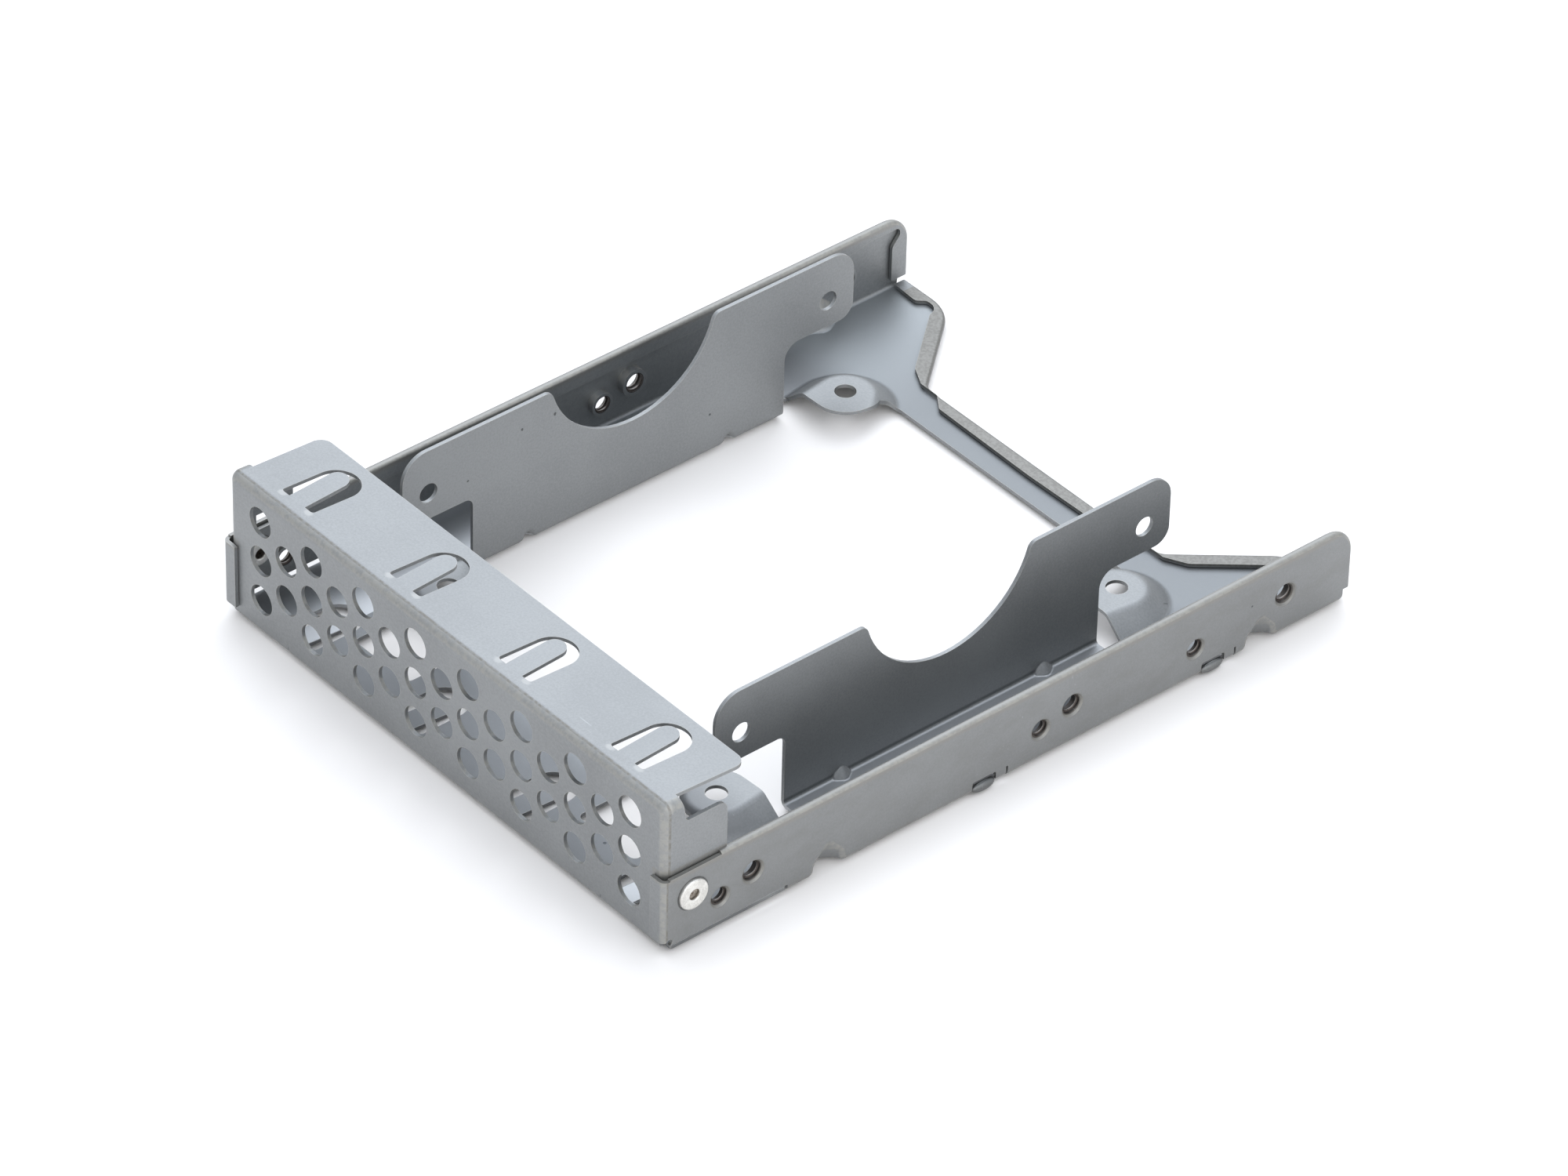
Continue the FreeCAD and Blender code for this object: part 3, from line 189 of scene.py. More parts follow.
class Surface:
    """Fields that the finishes of this object read."""

    def __init__(self, shader: Shader, coordinates: str = "Object") -> None:
        """Prepare the coordinates of a shader: Object for a piece, Generated for the sky."""
        self.shader = shader
        self.place = shader.add("ShaderNodeTexCoord").outputs[coordinates]

    def noise(self, size_mm: float, detail: float = 2.0, stretch: tuple = (1.0, 1.0, 1.0)) -> Field:
        """Noise between 0 and 1 whose features are about size_mm wide, stretched along the axes."""
        scale = tuple(1.0 / (size_mm * MM * s) for s in stretch)
        mapping = self.shader.add("ShaderNodeMapping", inputs={"Vector": self.place, "Scale": scale})
        node = self.shader.add("ShaderNodeTexNoise", inputs={
            "Vector": mapping.outputs["Vector"], "Scale": 1.0, "Detail": detail, "Roughness": 0.55})
        return Field(self.shader, node.outputs["Fac"])

    def axes(self) -> list[Field]:
        """The three coordinates in millimetres."""
        parts = self.shader.add("ShaderNodeSeparateXYZ", inputs={"Vector": self.place})
        return [Field(self.shader, output) * (1.0 / MM) for output in parts.outputs]

    def spot(self) -> Spot:
        """Place and direction of each point of the skin."""
        across, along, height = self.axes()
        normal = self.shader.add("ShaderNodeNewGeometry").outputs["Normal"]
        parts = self.shader.add("ShaderNodeSeparateXYZ", inputs={"Vector": normal})
        facing = tuple(abs(Field(self.shader, output)) for output in parts.outputs)
        return Spot(across, along, height, abs(across), facing)

    @staticmethod
    def distance(first: Field, second: Field) -> Field:
        """Length of the vector whose two parts are given."""
        return (first * first + second * second) ** 0.5

    def specks(self, cell_mm: float) -> Field:
        """Distance to scattered points, in cell widths."""
        scale = 1.0 / (cell_mm * MM)
        node = self.shader.add("ShaderNodeTexVoronoi", {"feature": "F1"}, {
            "Vector": self.place, "Scale": scale, "Randomness": 1.0})
        return Field(self.shader, node.outputs["Distance"])

    def edge(self, radius_mm: float) -> Field:
        """How much a rounded normal departs from the true one: near 0 on flats, up on sharp edges."""
        rounded = self.shader.add("ShaderNodeBevel", {"samples": 4}, {"Radius": radius_mm * MM})
        true = self.shader.add("ShaderNodeNewGeometry")
        node = self.shader.add("ShaderNodeVectorMath", {"operation": "DOT_PRODUCT"}, {
            0: rounded.outputs["Normal"], 1: true.outputs["True Normal"]})
        return 1.0 - Field(self.shader, node.outputs["Value"])

    def blend(self, mask: object, first: object, second: object) -> bpy.types.NodeSocket:
        """Colour mix: the first where the mask is 0, the second where it is 1."""
        node = self.shader.add("ShaderNodeMix", {"data_type": "RGBA"})
        self.shader.feed(node.inputs[0], mask)
        self.shader.feed(node.inputs[6], first)
        self.shader.feed(node.inputs[7], second)
        return node.outputs[2]


@dataclass(frozen=True)
class Collar:
    """Place and size of one threaded collar in both outer walls, in millimetres."""

    along: float
    height: float
    bore: float
    depth: float
    pitch: float


# Places on the cage, in millimetres of its own frame
COLLARS = [Collar(along, 7.7, 3.2, 1.4, 0.79) for along in (-49.25, 10.75, 52.5)] + \
    [Collar(along, 6.2, 2.8, 1.1, 0.6) for along in (-55.25, 4.75, 34.75)]
TONGUES = (-5.9, 38.4)
RIVET = (-60.31, 9.5)
WALL_OUTSIDE = 50.8
WALL_INSIDE = 50.2


@dataclass(frozen=True)
class ZincFinish:
    """Matte zinc coat on cold-rolled sheet, with clouding, grain, worn bends and bare cut edges, painted
    highlights on the bends and edges, and painted light and shade in set places.

    Colours are linear. A tuple of two lengths or parts is a smooth step from the first to the second,
    and one of four is a band that starts, is full, fades and ends, all in millimetres.
    """

    name: str = "zinc_sheet"
    marked: bool = True
    dark: tuple = (0.237, 0.244, 0.247, 1.0)
    light: tuple = (0.306, 0.315, 0.318, 1.0)
    wall_shade_tint: tuple = (0.205, 0.203, 0.194, 1.0)
    left_painted_light: tuple = (0.310, 0.330, 0.342, 1.0)
    top_painted_shade: tuple = (0.196, 0.208, 0.216, 1.0)
    inner_painted_shade: tuple = (0.150, 0.155, 0.160, 1.0)
    hem_mottle_light: tuple = (0.225, 0.219, 0.203, 1.0)
    hem_mottle_dark: tuple = (0.175, 0.169, 0.155, 1.0)
    roll_tint: tuple = (0.275, 0.262, 0.235, 1.0)
    rim_wear_and_highlight: tuple = (0.400, 0.388, 0.350, 1.0)
    seam_painted_shade: tuple = (0.165, 0.155, 0.135, 1.0)
    foot_painted_light: tuple = (0.50, 0.515, 0.53, 1.0)
    root_tint: tuple = (0.42, 0.42, 0.41, 1.0)
    # colour of the sharp edges: partly bare steel, partly a painted highlight
    cut: tuple = (0.50, 0.485, 0.44, 1.0)
    scratch: tuple = (0.46, 0.48, 0.49, 1.0)
    speck: tuple = (0.05, 0.055, 0.06, 1.0)
    shade: tuple = (0.045, 0.045, 0.045, 1.0)
    bore_shade_tint: tuple = (0.050, 0.042, 0.038, 1.0)
    metallic: float = 0.85
    roughness: float = 0.50
    floor_face: tuple = (0.9, 1.1, 1.3, 1.5)
    floor_facing: tuple = (0.80, 0.98)
    left_to_right: tuple = (-46.0, -22.0)
    channel: tuple = (36.5, 37.5, 46.0, 49.0)
    channel_rear: tuple = (36.0, 46.0)
    front_bay: tuple = (-50.0, -46.0)
    behind_panel: tuple = (-64.2, -63.6)
    boss_front: tuple = (-45.0, -35.0)
    boss_height: tuple = (1.5, 2.5, 5.0, 6.0)
    boss_side: tuple = (24.0, 25.0, 45.0, 46.0)
    wall_face: tuple = (50.55, 50.75)
    foot_side: tuple = (35.85, 35.95, 38.0, 45.0)
    foot_height: tuple = (1.22, 1.40)
    foot_rear: tuple = (20.0, 36.0)
    crease_side: tuple = (35.9, 36.0, 36.10, 36.25)
    crease_height: tuple = (1.55, 1.70, 1.9, 2.3)
    floor_hem_height: tuple = (1.45, 1.60, 2.05, 2.25)
    floor_hem_start: tuple = (46.0, 46.2)
    floor_hem_side: tuple = (47.2, 47.4)
    roll_start: tuple = (12.9, 13.5)
    roll_side: tuple = (47.2, 47.6)
    roll_top: tuple = (14.6, 14.8)
    bend_facing: tuple = (0.16, 0.40)
    wall_edge_side: tuple = (46.5, 47.0)
    wall_edge_height: tuple = (3.0, 4.0)
    wall_side: tuple = (50.2, 50.4)
    front_zone: tuple = (-61.0, -60.5)
    seam_zone: tuple = (-62.5, -62.0)
    seam_facing: float = 0.35
    slots: tuple = (12.5, 37.6)
    slot_root: float = 62.1
    leg_offset: float = 3.1
    slot_height: tuple = (23.0, 24.0)
    rivet_line_radius: float = 2.66
    slit_side: tuple = (47.9, 49.3)
    slit_top: tuple = (2.70, 2.85)
    upright_face: float = 35.4
    dots: tuple = ((-15.6, 22.0, 0.30), (-21.8, 22.0, 0.24), (-32.0, 17.3, 0.20))

    def material(self) -> bpy.types.Material:
        """Build the material.

        Returns:
            The finished material, in Object coordinates.
        """
        shader = Shader(self.name)
        surface = Surface(shader)
        clouds = surface.noise(22.0, 3.0)
        grain = surface.noise(0.35, 2.0)
        rolling = surface.noise(0.5, 2.0, (14.0, 1.0, 1.0))
        tint = (clouds * 0.50 + grain * 0.45 + rolling * 0.05).between(0.30, 0.70)
        colour = surface.blend(tint, self.dark, self.light)
        if self.marked:
            spot = surface.spot()
            for mark in (self.floor_painted_light_and_shade, self.enclosed_painted_shade, self.wall_painted_shade, self.channel_foot_painted_light_and_shade,
                         self.hem_mottle_and_roll_wear, self.bend_wear_and_painted_light, self.slot_roots):
                colour = mark(surface, spot, colour)
        # every sharp edge gets a paler colour: partly bare cut steel, partly a painted highlight
        edges = surface.edge(0.22).between(0.02, 0.30)
        colour = surface.blend(edges * 0.5, colour, self.cut)
        if self.marked:
            for mark in (self.bore_shade, self.rivet_line, self.slit_shade, self.upright_dots):
                colour = mark(surface, spot, colour)
        lines = surface.noise(0.9, 1.0, (9.0, 0.25, 1.0))
        where = surface.noise(16.0, 1.0).between(0.60, 0.74)
        scratches = lines.between(0.72, 0.78) * where
        colour = surface.blend(scratches * 0.35, colour, self.scratch)
        specks = (0.030 - surface.specks(11.0)).between(0.0, 0.01)
        colour = surface.blend(specks * 0.8, colour, self.speck)
        relief = grain * 0.8 + rolling * 0.05 + surface.noise(2.4, 2.0) * 0.30
        bump = shader.add("ShaderNodeBump", inputs={
            "Height": relief, "Strength": 0.16, "Distance": 0.05 * MM})
        rough = self.roughness + (grain - 0.5) * 0.12 + (clouds - 0.5) * 0.10 - scratches * 0.12
        principled = shader.add("ShaderNodeBsdfPrincipled", inputs={
            "Base Color": colour, "Metallic": self.metallic, "Roughness": rough,
            "Normal": bump.outputs["Normal"]})
        return shader.finish(principled.outputs["BSDF"])

    def floor_painted_light_and_shade(self, surface: Surface, spot: Spot, colour: object) -> bpy.types.NodeSocket:
        """Painted shade on the floor's upper face, with painted light making it paler on the left."""
        level = spot.height.band(*self.floor_face) * spot.facing[2].between(*self.floor_facing)
        # painted shade on the upward face, and painted light towards its left end
        painted_floor_tone = surface.blend(spot.across.between(*self.left_to_right), self.left_painted_light, self.top_painted_shade)
        return surface.blend(level * 0.8, colour, painted_floor_tone)

    def enclosed_painted_shade(self, surface: Surface, spot: Spot, colour: object) -> bpy.types.NodeSocket:
        """Painted shade in the channels beside the uprights, on the floor's front and on the front
        bosses' sides.
        """
        behind = spot.along.between(*self.behind_panel)
        channel = spot.side.band(*self.channel) * spot.along.below(*self.channel_rear)
        enclosed = channel.maximum(spot.along.below(*self.front_bay))
        enclosed = enclosed * spot.height.below(*self.floor_face[2:]) * behind
        # painted shade in the channels and on the floor's front
        colour = surface.blend(enclosed * 0.75, colour, self.inner_painted_shade)
        # painted shade on the front bosses' sides
        boss = spot.along.below(*self.boss_front) * spot.height.band(*self.boss_height)
        boss = boss * spot.side.band(*self.boss_side) * behind
        return surface.blend(boss * 0.8, colour, self.inner_painted_shade)

    def wall_painted_shade(self, surface: Surface, spot: Spot, colour: object) -> bpy.types.NodeSocket:
        """Painted shade over the walls' outer faces, darker still in random blotches."""
        # painted shade: a fixed part everywhere on the outer face, and more in blotches
        blotches = surface.noise(3.0, 5.0, (1.0, 2.0, 1.0)).between(0.40, 0.75) * 0.22 + 0.30
        return surface.blend(blotches * spot.side.between(*self.wall_face), colour, self.wall_shade_tint)

    def channel_foot_painted_light_and_shade(self, surface: Surface, spot: Spot, colour: object) -> bpy.types.NodeSocket:
        """Painted light on the floor beside each upright, and a painted shade line along the upright's
        bend.
        """
        foot = spot.side.band(*self.foot_side) * spot.height.below(*self.foot_height)
        foot = foot * spot.along.below(*self.foot_rear)
        # painted light on the floor strip beside the upright
        colour = surface.blend(foot * 0.9, colour, self.foot_painted_light)
        # painted shade in the concave bend at the upright's foot
        crease_shade = spot.side.band(*self.crease_side) * spot.height.band(*self.crease_height)
        return surface.blend(crease_shade * 0.45, colour, self.shade)

    def hem_mottle_and_roll_wear(self, surface: Surface, spot: Spot, colour: object) -> bpy.types.NodeSocket:
        """Darken the floor's rear hem in a mottled pattern, and warm the rolled top of the walls along a
        wavy line.
        """
        hem = spot.height.band(*self.floor_hem_height) * spot.along.between(*self.floor_hem_start)
        hem = hem * spot.side.below(*self.floor_hem_side)
        mottled = surface.blend(surface.noise(0.45, 3.0).between(0.36, 0.64), self.hem_mottle_dark, self.hem_mottle_light)
        colour = surface.blend(hem * 0.9, colour, mottled)
        wavy = spot.height + (surface.noise(2.0, 2.0, (1.0, 3.0, 1.0)) - 0.5) * 0.5
        roll = wavy.between(*self.roll_start) * spot.side.between(*self.roll_side)
        roll = roll * spot.height.below(*self.roll_top)
        return surface.blend(roll * 0.5, colour, self.roll_tint)

    def bend_wear_and_painted_light(self, surface: Surface, spot: Spot, colour: object) -> bpy.types.NodeSocket:
        """Pale the outer bends in patches, partly worn coat and partly painted highlight, with a painted
        shade line where the panel's bend begins.

        A bend faces between two axes, so the products of its direction's parts add up to more than 0.
        """
        first, second, third = spot.facing
        turned = first * second + second * third + third * first
        zone = spot.side.between(*self.wall_edge_side) * spot.height.between(*self.wall_edge_height)
        zone = largest((zone, spot.side.between(*self.wall_side), spot.along.below(*self.front_zone)))
        patchy = surface.noise(0.8, 3.0).between(0.36, 0.62)
        bend = turned.between(*self.bend_facing) * zone * (patchy * 0.6 + 0.4)
        # pale bends: partly worn coat, partly painted highlight
        colour = surface.blend(bend * 0.55, colour, self.rim_wear_and_highlight)
        # painted shade line where the panel's bend begins
        seam_shade = abs(second - self.seam_facing).below(0.05, 0.16) * zone
        seam_shade = seam_shade * spot.along.below(*self.seam_zone)
        return surface.blend(seam_shade * (patchy * 0.5 + 0.2), colour, self.seam_painted_shade)

    def slot_roots(self, surface: Surface, spot: Spot, colour: object) -> bpy.types.NodeSocket:
        """Pale marks at the roots of the flange's U slots, with a ragged edge."""
        ragged = (surface.noise(0.9) - 0.5) * 0.5
        roots = []
        for slot in self.slots:
            for leg in (slot - self.leg_offset, slot + self.leg_offset):
                reach = surface.distance((spot.side - leg) * 0.7, spot.along + self.slot_root)
                roots.append((reach + ragged).below(0.35, 0.75))
        pale_marks = largest(roots) * spot.height.between(*self.slot_height)
        return surface.blend(pale_marks * 0.5, colour, self.root_tint)

    def bore_shade(self, surface: Surface, spot: Spot, colour: object) -> bpy.types.NodeSocket:
        """Darken the collars' bores, partly the brown of oiled steel and partly painted shade, and paint
        a shade ring round each on the walls' outer faces.
        """
        bores, rings = [], []
        for collar in COLLARS:
            reach = surface.distance(spot.along - collar.along, spot.height - collar.height)
            radius = collar.bore / 2
            bores.append(reach.below(radius + 0.06, radius + 0.16))
            rings.append(reach.below(radius + 0.15, radius + 0.75))
        wall = spot.side.band(48.0, 48.2, WALL_OUTSIDE - 0.30, WALL_OUTSIDE - 0.15)
        # painted shade in the bores, with the brown of oiled steel
        colour = surface.blend(largest(bores) * wall * 0.9, colour, self.bore_shade_tint)
        # painted shade ring round each bore
        ring_shade = largest(rings) * spot.side.between(WALL_INSIDE, WALL_INSIDE + 0.1)
        return surface.blend(ring_shade * 0.45, colour, self.seam_painted_shade)

    def rivet_line(self, surface: Surface, spot: Spot, colour: object) -> bpy.types.NodeSocket:
        """Draw the dark line where each rivet's head meets the wall."""
        reach = surface.distance(spot.along - RIVET[0], spot.height - RIVET[1])
        ring = abs(reach - self.rivet_line_radius).below(0.05, 0.20)
        return surface.blend(ring * spot.side.between(48.0, 48.2) * 0.65, colour, self.shade)

    def slit_shade(self, surface: Surface, spot: Spot, colour: object) -> bpy.types.NodeSocket:
        """Darken the lanced slits in the walls' lower bends."""
        slits = largest(abs(spot.along - tongue).below(1.6, 2.5) for tongue in TONGUES)
        slits = slits * spot.side.between(*self.slit_side) * spot.height.below(*self.slit_top)
        return surface.blend(slits * 0.9, colour, self.shade)

    def upright_dots(self, surface: Surface, spot: Spot, colour: object) -> bpy.types.NodeSocket:
        """Three small dark pits on the left upright's inner face."""
        pits = []
        for along, height, size in self.dots:
            reach = surface.distance(spot.along - along, spot.height - height)
            ragged = (surface.noise(0.4) - 0.5) * 0.3
            pits.append((reach + ragged).below(size * 0.7, size * 1.1))
        face = abs(spot.across + self.upright_face).below(0.1, 0.2)
        return surface.blend(largest(pits) * face * 0.75, colour, self.shade)


@dataclass(frozen=True)
class RivetFinish:
    """Bright bare metal with faint turning marks, and a dull brownish hollow."""

    name: str = "rivet_metal"
    dark: tuple = (0.60, 0.585, 0.55, 1.0)
    light: tuple = (0.80, 0.785, 0.745, 1.0)
    hollow: tuple = (0.30, 0.27, 0.23, 1.0)
    stain: tuple = (0.12, 0.09, 0.07, 1.0)

    def material(self) -> bpy.types.Material:
        """Build the material.

        Returns:
            The finished material, in Object coordinates.
        """
        shader = Shader(self.name)
        surface = Surface(shader)
        grain = surface.noise(0.25, 3.0)
        clouds = surface.noise(1.8, 2.0)
        colour = surface.blend((grain * 0.5 + clouds * 0.5).between(0.35, 0.65), self.dark, self.light)
        along, height = surface.axes()[1:]
        reach = surface.distance(along - RIVET[0], height - RIVET[1])
        dull = surface.blend(surface.noise(0.30, 3.0).between(0.50, 0.60), self.hollow, self.stain)
        colour = surface.blend(1.0 - reach.between(0.80, 0.98), colour, dull)
        bump = shader.add("ShaderNodeBump", inputs={
            "Height": grain, "Strength": 0.25, "Distance": 0.04 * MM})
        principled = shader.add("ShaderNodeBsdfPrincipled", inputs={
            "Base Color": colour, "Metallic": 0.85, "Roughness": 0.34 + (clouds - 0.5) * 0.15,
            "Normal": bump.outputs["Normal"]})
        return shader.finish(principled.outputs["BSDF"])


@dataclass(frozen=True)
class ThreadFinish:
    """Oiled bare steel of the cut threads, with brown painted shade in the roots and a pale painted
    highlight on the crests.
    """

    name: str = "thread_steel"
    root: tuple = (0.075, 0.063, 0.056, 1.0)
    crest: tuple = (0.33, 0.31, 0.29, 1.0)

    def material(self, attribute: str) -> bpy.types.Material:
        """Build the material.

        Args:
            attribute: the name of the mesh's own number that is 0 at the root and 1 at the crest.

        Returns:
            The finished material.
        """
        shader = Shader(self.name)
        surface = Surface(shader)
        grain = surface.noise(0.20, 2.0)
        ridge = shader.add("ShaderNodeAttribute", {"attribute_name": attribute})
        high = Field(shader, ridge.outputs["Fac"])
        # painted shade in the roots, painted highlight on the crests
        colour = surface.blend((high + (grain - 0.5) * 0.4).between(0.70, 1.0), self.root, self.crest)
        principled = shader.add("ShaderNodeBsdfPrincipled", inputs={
            "Base Color": colour, "Metallic": 0.85, "Roughness": 0.38 + (grain - 0.5) * 0.2})
        return shader.finish(principled.outputs["BSDF"])


@dataclass(frozen=True)
class FloorFinish:
    """Pale matte paper."""

    name: str = "studio_floor"
    low: tuple = (0.895, 0.865, 0.835, 1.0)
    high: tuple = (0.915, 0.885, 0.855, 1.0)
    roughness: float = 0.9

    def material(self) -> bpy.types.Material:
        """Build the material.

        Returns:
            The finished material, in Object coordinates.
        """
        shader = Shader(self.name)
        surface = Surface(shader)
        colour = surface.blend(surface.noise(60.0, 1.0), self.low, self.high)
        principled = shader.add("ShaderNodeBsdfPrincipled", inputs={
            "Base Color": colour, "Roughness": self.roughness})
        return shader.finish(principled.outputs["BSDF"])


def grid_mesh(name: str, points: np.ndarray, closed: bool) -> bpy.types.Object:
    """Mesh of four-sided faces over a grid of points.

    Args:
        name: the object's name.
        points: array of shape (rows, columns, 3), in metres.
        closed: whether the last column joins the first.

    Returns:
        The new object, linked to the scene.
    """
    rows, columns = points.shape[:2]
    index = np.arange(rows * columns).reshape(rows, columns)
    if closed:
        index = np.concatenate([index, index[:, :1]], 1)
    corners = [index[:-1, :-1], index[1:, :-1], index[1:, 1:], index[:-1, 1:]]
    faces = np.stack(corners, -1).reshape(-1, 4)
    mesh = bpy.data.meshes.new(name)
    mesh.from_pydata(points.reshape(-1, 3).tolist(), [], faces.tolist())
    mesh.polygons.foreach_set("use_smooth", np.ones(len(faces), bool))
    mesh.update()
    piece = bpy.data.objects.new(name, mesh)
    bpy.context.scene.collection.objects.link(piece)
    return piece


def close_up(mesh: bpy.types.Mesh) -> None:
    """Merge the points that meet at seams and poles, and turn the faces outwards."""
    shape = bmesh.new()
    shape.from_mesh(mesh)
    bmesh.ops.remove_doubles(shape, verts=shape.verts, dist=MERGE_DISTANCE)
    bmesh.ops.recalc_face_normals(shape, faces=shape.faces)
    shape.to_mesh(mesh)
    shape.free()


def attach(piece: bpy.types.Object, material: bpy.types.Material) -> None:
    """Close a new piece, dress it and let it ride on the cage."""
    close_up(piece.data)
    piece.data.materials.append(material)
    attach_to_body(piece, "root")
    LOG.info("made %s, %d faces", piece.name, len(piece.data.polygons))


@dataclass(frozen=True)
class ScrewThreads:
    """Helical ridges in the collars of both walls.

    Base, crest and entry are parts of a pitch, and the other lengths are in millimetres.
    """

    steps_per_turn: int = 40
    entry: float = 0.35
    chamfer: float = 0.42
    run_out: float = 6.0
    depth: float = 0.26
    base: float = 0.62
    crest: float = 0.16
    bury: float = 0.08
    attribute: str = "crest"

    def points(self, side: int, collar: Collar) -> tuple[np.ndarray, np.ndarray]:
        """Points of one ridge: a six-point profile carried along a helix, shrunk to nothing at its ends.

        The helix runs along X: y = along + r cos t, z = height + r sin t, x grows by a pitch a turn.

        Args:
            side: +1 for the right wall, -1 for the left.
            collar: the collar that holds the thread.

        Returns:
            The grid of points in metres, and how near each is to the crest, from 0 to 1.
        """
        radius = collar.bore / 2
        start = WALL_INSIDE - collar.depth + collar.pitch * self.entry
        end = WALL_OUTSIDE - self.chamfer
        turns = (end - start) / collar.pitch
        turn = np.linspace(0.0, turns, int(self.steps_per_turn * turns) + 1)
        rise = np.clip(np.minimum(turn, turns - turn) * self.run_out, 0.0, 1.0)
        half_base, half_crest = self.base * collar.pitch / 2, self.crest * collar.pitch / 2
        across = np.array([-half_base, -half_base, -half_crest, half_crest, half_base, half_base])
        inward = np.array([-self.bury, 0.0, self.depth, self.depth, 0.0, -self.bury])
        reach = radius - inward[None, :] * rise[:, None]
        angle = turn[:, None] * 2 * math.pi * side
        x = side * (start + turn[:, None] * collar.pitch + across[None, :] * rise[:, None])
        y = collar.along + reach * np.cos(angle)
        z = collar.height + reach * np.sin(angle)
        near_crest = np.clip(inward, 0.0, None)[None, :] / self.depth * rise[:, None]
        return np.stack([x, y, z], -1) * MM, near_crest

    def build(self) -> None:
        """Make one piece for each collar, twelve in all."""
        material = ThreadFinish().material(self.attribute)
        for side, word in ((1, "right"), (-1, "left")):
            for number, collar in enumerate(COLLARS, 1):
                points, near_crest = self.points(side, collar)
                piece = grid_mesh(f"thread_{word}_{number}", points, True)
                values = piece.data.attributes.new(self.attribute, "FLOAT", "POINT")
                values.data.foreach_set("value", near_crest.astype(np.float32).ravel())
                attach(piece, material)


@dataclass(frozen=True)
class TongueLips:
    """Pressed lips that hang from the walls' foot below each lanced slit, in a darker zinc that is
    painted shade.
    """

    # darker than the sheet's own zinc: painted shade
    dark: tuple = (0.150, 0.155, 0.155, 1.0)
    light: tuple = (0.215, 0.218, 0.215, 1.0)
    half_length: float = 2.15
    sections: int = 25
    profile: tuple = ((50.35, 2.05), (50.85, 2.02), (51.12, 1.80), (51.22, 1.30),
                      (51.12, 0.78), (50.80, 0.42), (50.30, 0.34), (50.30, 0.90),
                      (50.60, 1.05), (50.66, 1.40), (50.60, 1.62), (50.35, 1.70))
    root: tuple = (50.55, 1.35)

    def build(self) -> None:
        """Make one lip for each tongue on each side.

        The lip is a closed profile in x and z that shrinks towards its root as the square root of
        1 minus u squared, where u goes from -1 to 1 along Y.
        """
        # the lips' zinc is a darker copy of the sheet's, as painted shade
        finish = ZincFinish(name="zinc_lip_painted_shade", marked=False, dark=self.dark, light=self.light)
        material = finish.material()
        along = np.sin(np.linspace(-math.pi / 2, math.pi / 2, self.sections))
        size = np.sqrt(np.clip(1.0 - along ** 2, 0.0, None))[:, None]
        x, z = np.array(self.profile).T
        for side, word in ((1, "right"), (-1, "left")):
            for number, tongue in enumerate(TONGUES, 1):
                grown_x = side * (self.root[0] + (x - self.root[0])[None, :] * size)
                grown_z = self.root[1] + (z - self.root[1])[None, :] * size
                y = np.broadcast_to(tongue + self.half_length * along[:, None], grown_x.shape)
                points = np.stack([grown_x, y, grown_z], -1)[:, ::side]
                attach(grid_mesh(f"lip_{word}_{number}", points * MM, True), material)


@dataclass(frozen=True)
class RivetCores:
    """Broken-off mandrel ends that close the rivets' hollows."""

    radius: float = 0.90
    face_x: float = 50.95
    dome: float = 0.12
    thickness: float = 0.40
    rings: int = 9
    spokes: int = 32

    def build(self, material: bpy.types.Material) -> None:
        """Make one uneven disc for each rivet.

        Its face falls with the square of the radius and ripples three and five times round, and its
        back is flat.

        Args:
            material: the rivets' metal.
        """
        front = np.linspace(0.0, 1.0, self.rings)[:, None]
        angle = np.linspace(0.0, 2 * math.pi, self.spokes, endpoint=False)[None, :]
        ripple = 0.04 * np.sin(3 * angle + 1.0) * front + 0.03 * np.sin(5 * angle) * front ** 2
        face = self.face_x - self.dome * front ** 2 + ripple
        depth = np.concatenate([face, np.full_like(face, self.face_x - self.thickness)])
        ring = np.concatenate([front, front[::-1]])
        for side, word in ((1, "right"), (-1, "left")):
            y = RIVET[0] + self.radius * ring * np.cos(angle) * side
            z = RIVET[1] + self.radius * ring * np.sin(angle)
            points = np.stack([side * depth, y, z], -1) * MM
            attach(grid_mesh(f"rivet_core_{word}", points, True), material)


@dataclass(frozen=True)
class PhotoCamera:
    """Camera at the photograph's place, in the cage's own frame (millimetres and degrees)."""

    azimuth: float = 49.08
    elevation: float = 37.90
    roll: float = 1.427
    distance: float = 1336.6
    target: tuple = (4.626, -4.809, 8.6)
    lens: float = 209.84
    sensor: float = 36.0
    clip: tuple = (0.01, 20.0)

    def build(self) -> None:
        """Put the camera in the scene. Back is the direction from the target to the lens."""
        azimuth, elevation, roll = (math.radians(v) for v in (self.azimuth, self.elevation, self.roll))
        back = Vector((math.sin(azimuth) * math.cos(elevation), -math.cos(azimuth) * math.cos(elevation),
                       math.sin(elevation)))
        level = Vector((math.cos(azimuth), math.sin(azimuth), 0.0))
        rise = back.cross(level)
        right = level * math.cos(roll) + rise * math.sin(roll)
        up = rise * math.cos(roll) - level * math.sin(roll)
        data = bpy.data.cameras.new("photo_camera")
        data.lens = self.lens
        data.sensor_width = self.sensor
        data.sensor_fit = "HORIZONTAL"
        data.clip_start, data.clip_end = self.clip
        camera = bpy.data.objects.new("photo_camera", data)
        turn = Matrix((right, up, back)).transposed().to_4x4()
        place = (Vector(self.target) + back * self.distance) * MM
        camera.matrix_world = Matrix.Translation(place) @ turn
        bpy.context.scene.collection.objects.link(camera)
        bpy.context.scene.camera = camera


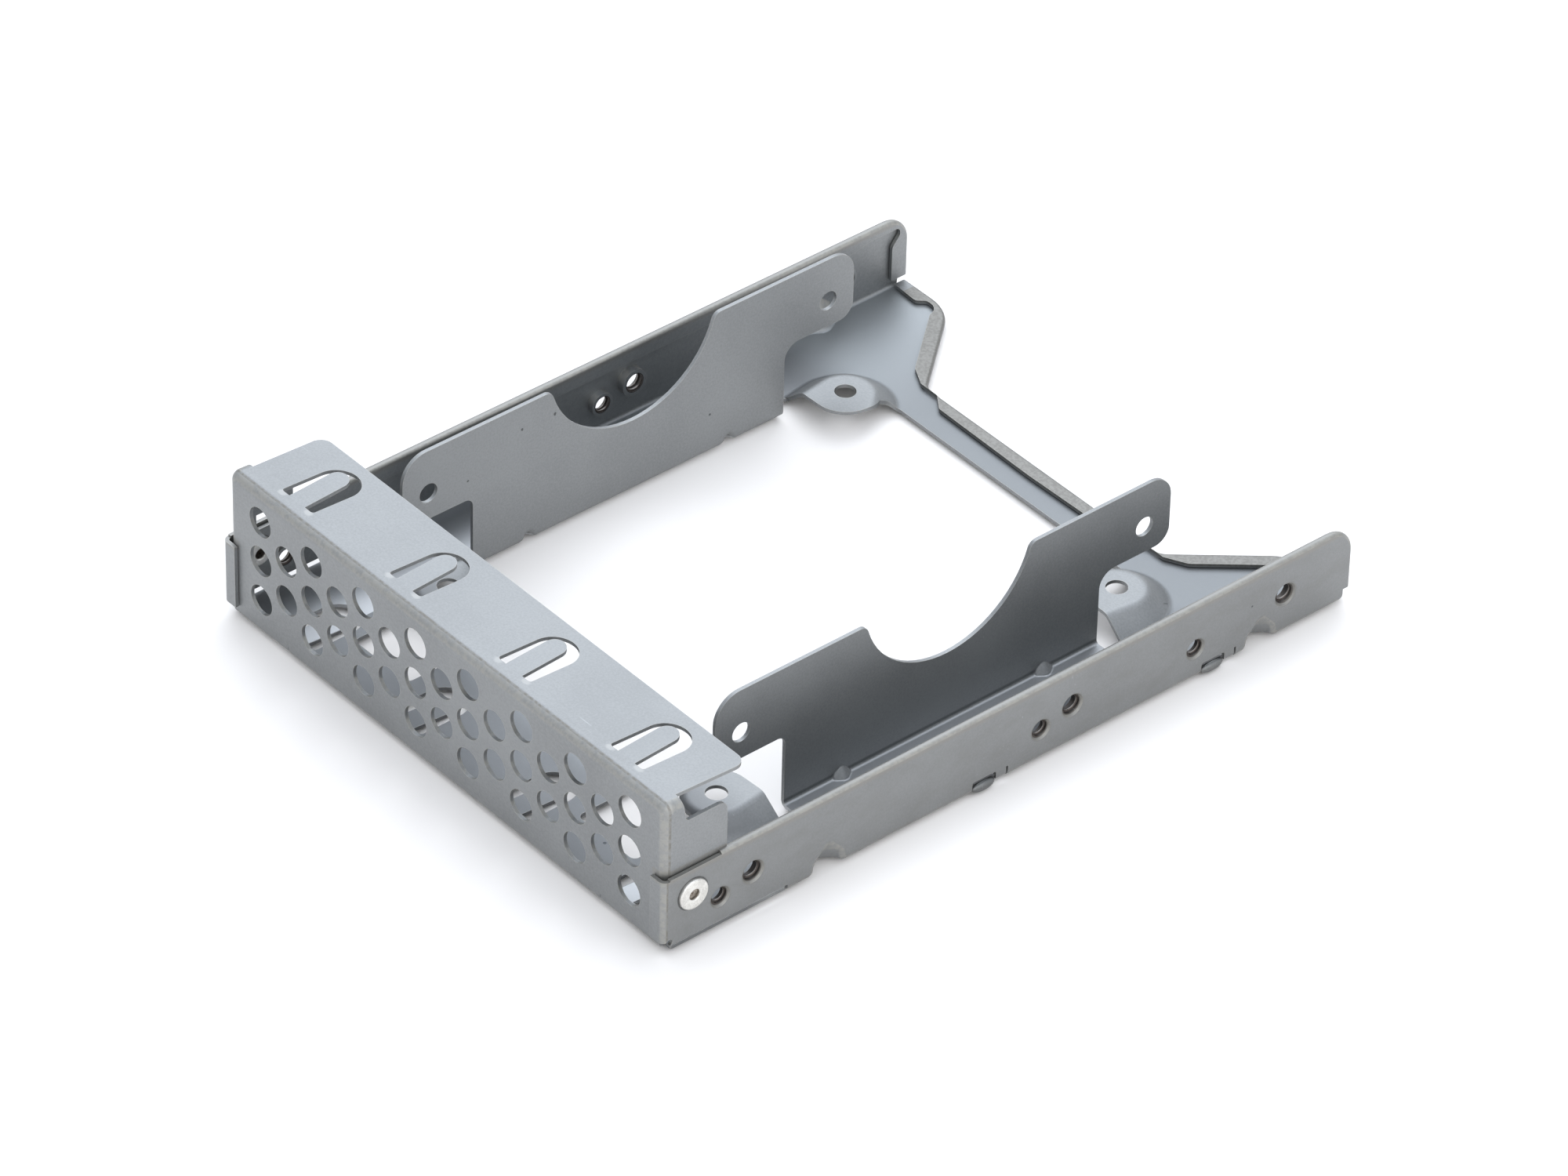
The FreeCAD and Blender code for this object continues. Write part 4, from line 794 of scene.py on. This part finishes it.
@dataclass(frozen=True)
class Studio:
    """White paper floor, a sky that is brighter overhead, and a soft box on either side."""

    floor_size: float = 6.0
    horizon: tuple = (0.72, 0.735, 0.755, 1.0)
    zenith: tuple = (1.16, 1.23, 1.34, 1.0)
    key_place: tuple = (-0.60, 0.58, 1.00)
    key_size: float = 1.1
    key_power: float = 8.0
    key_colour: tuple = (0.95, 1.0, 1.07)
    fill_place: tuple = (1.15, -0.25, 0.55)
    fill_size: float = 1.8
    fill_power: float = 9.0

    def build(self) -> None:
        """Make the floor, the sky light and the two soft boxes."""
        half = self.floor_size / 2
        span = np.linspace(-half, half, 9)
        across, along = np.meshgrid(span, span, indexing="ij")
        floor = grid_mesh("studio_floor", np.stack([across, along, np.zeros_like(across)], -1), False)
        floor.data.materials.append(FloorFinish().material())
        bpy.context.scene.world = self.sky()
        key = self.soft_box("key_box", self.key_place, self.key_size, self.key_power)
        key.color = self.key_colour
        self.soft_box("fill_box", self.fill_place, self.fill_size, self.fill_power)

    def sky(self) -> bpy.types.World:
        """World light that goes from the horizon's colour up to the zenith's."""
        shader = Shader("studio_world", "worlds")
        surface = Surface(shader, "Generated")
        axes = shader.add("ShaderNodeSeparateXYZ", inputs={"Vector": surface.place})
        height = Field(shader, axes.outputs["Z"]).between(0.0, 0.9)
        colour = surface.blend(height, self.horizon, self.zenith)
        light = shader.add("ShaderNodeBackground", inputs={"Color": colour})
        return shader.finish(light.outputs["Background"])

    @staticmethod
    def soft_box(name: str, place: tuple, size: float, power: float) -> bpy.types.AreaLight:
        """Add one square area light that looks at the cage."""
        data = bpy.data.lights.new(name, "AREA")
        data.energy = power
        data.size = size
        light = bpy.data.objects.new(name, data)
        turn = Vector(place).to_track_quat("Z", "Y").to_matrix().to_4x4()
        light.matrix_world = Matrix.Translation(place) @ turn
        bpy.context.scene.collection.objects.link(light)
        return data


def main() -> None:
    """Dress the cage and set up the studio."""
    logging.basicConfig(level=logging.INFO, format="%(message)s")
    bpy.context.scene.view_settings.view_transform = "Standard"
    zinc = ZincFinish().material()
    rivet_metal = RivetFinish().material()
    for name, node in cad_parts.items():
        node.data.materials.clear()
        node.data.materials.append(zinc if name == "tray" else rivet_metal)
        LOG.info("dressed %s, %d faces", name, len(node.data.polygons))
    ScrewThreads().build()
    TongueLips().build()
    RivetCores().build(rivet_metal)
    Studio().build()
    PhotoCamera().build()


if __name__ == "__main__":
    main()
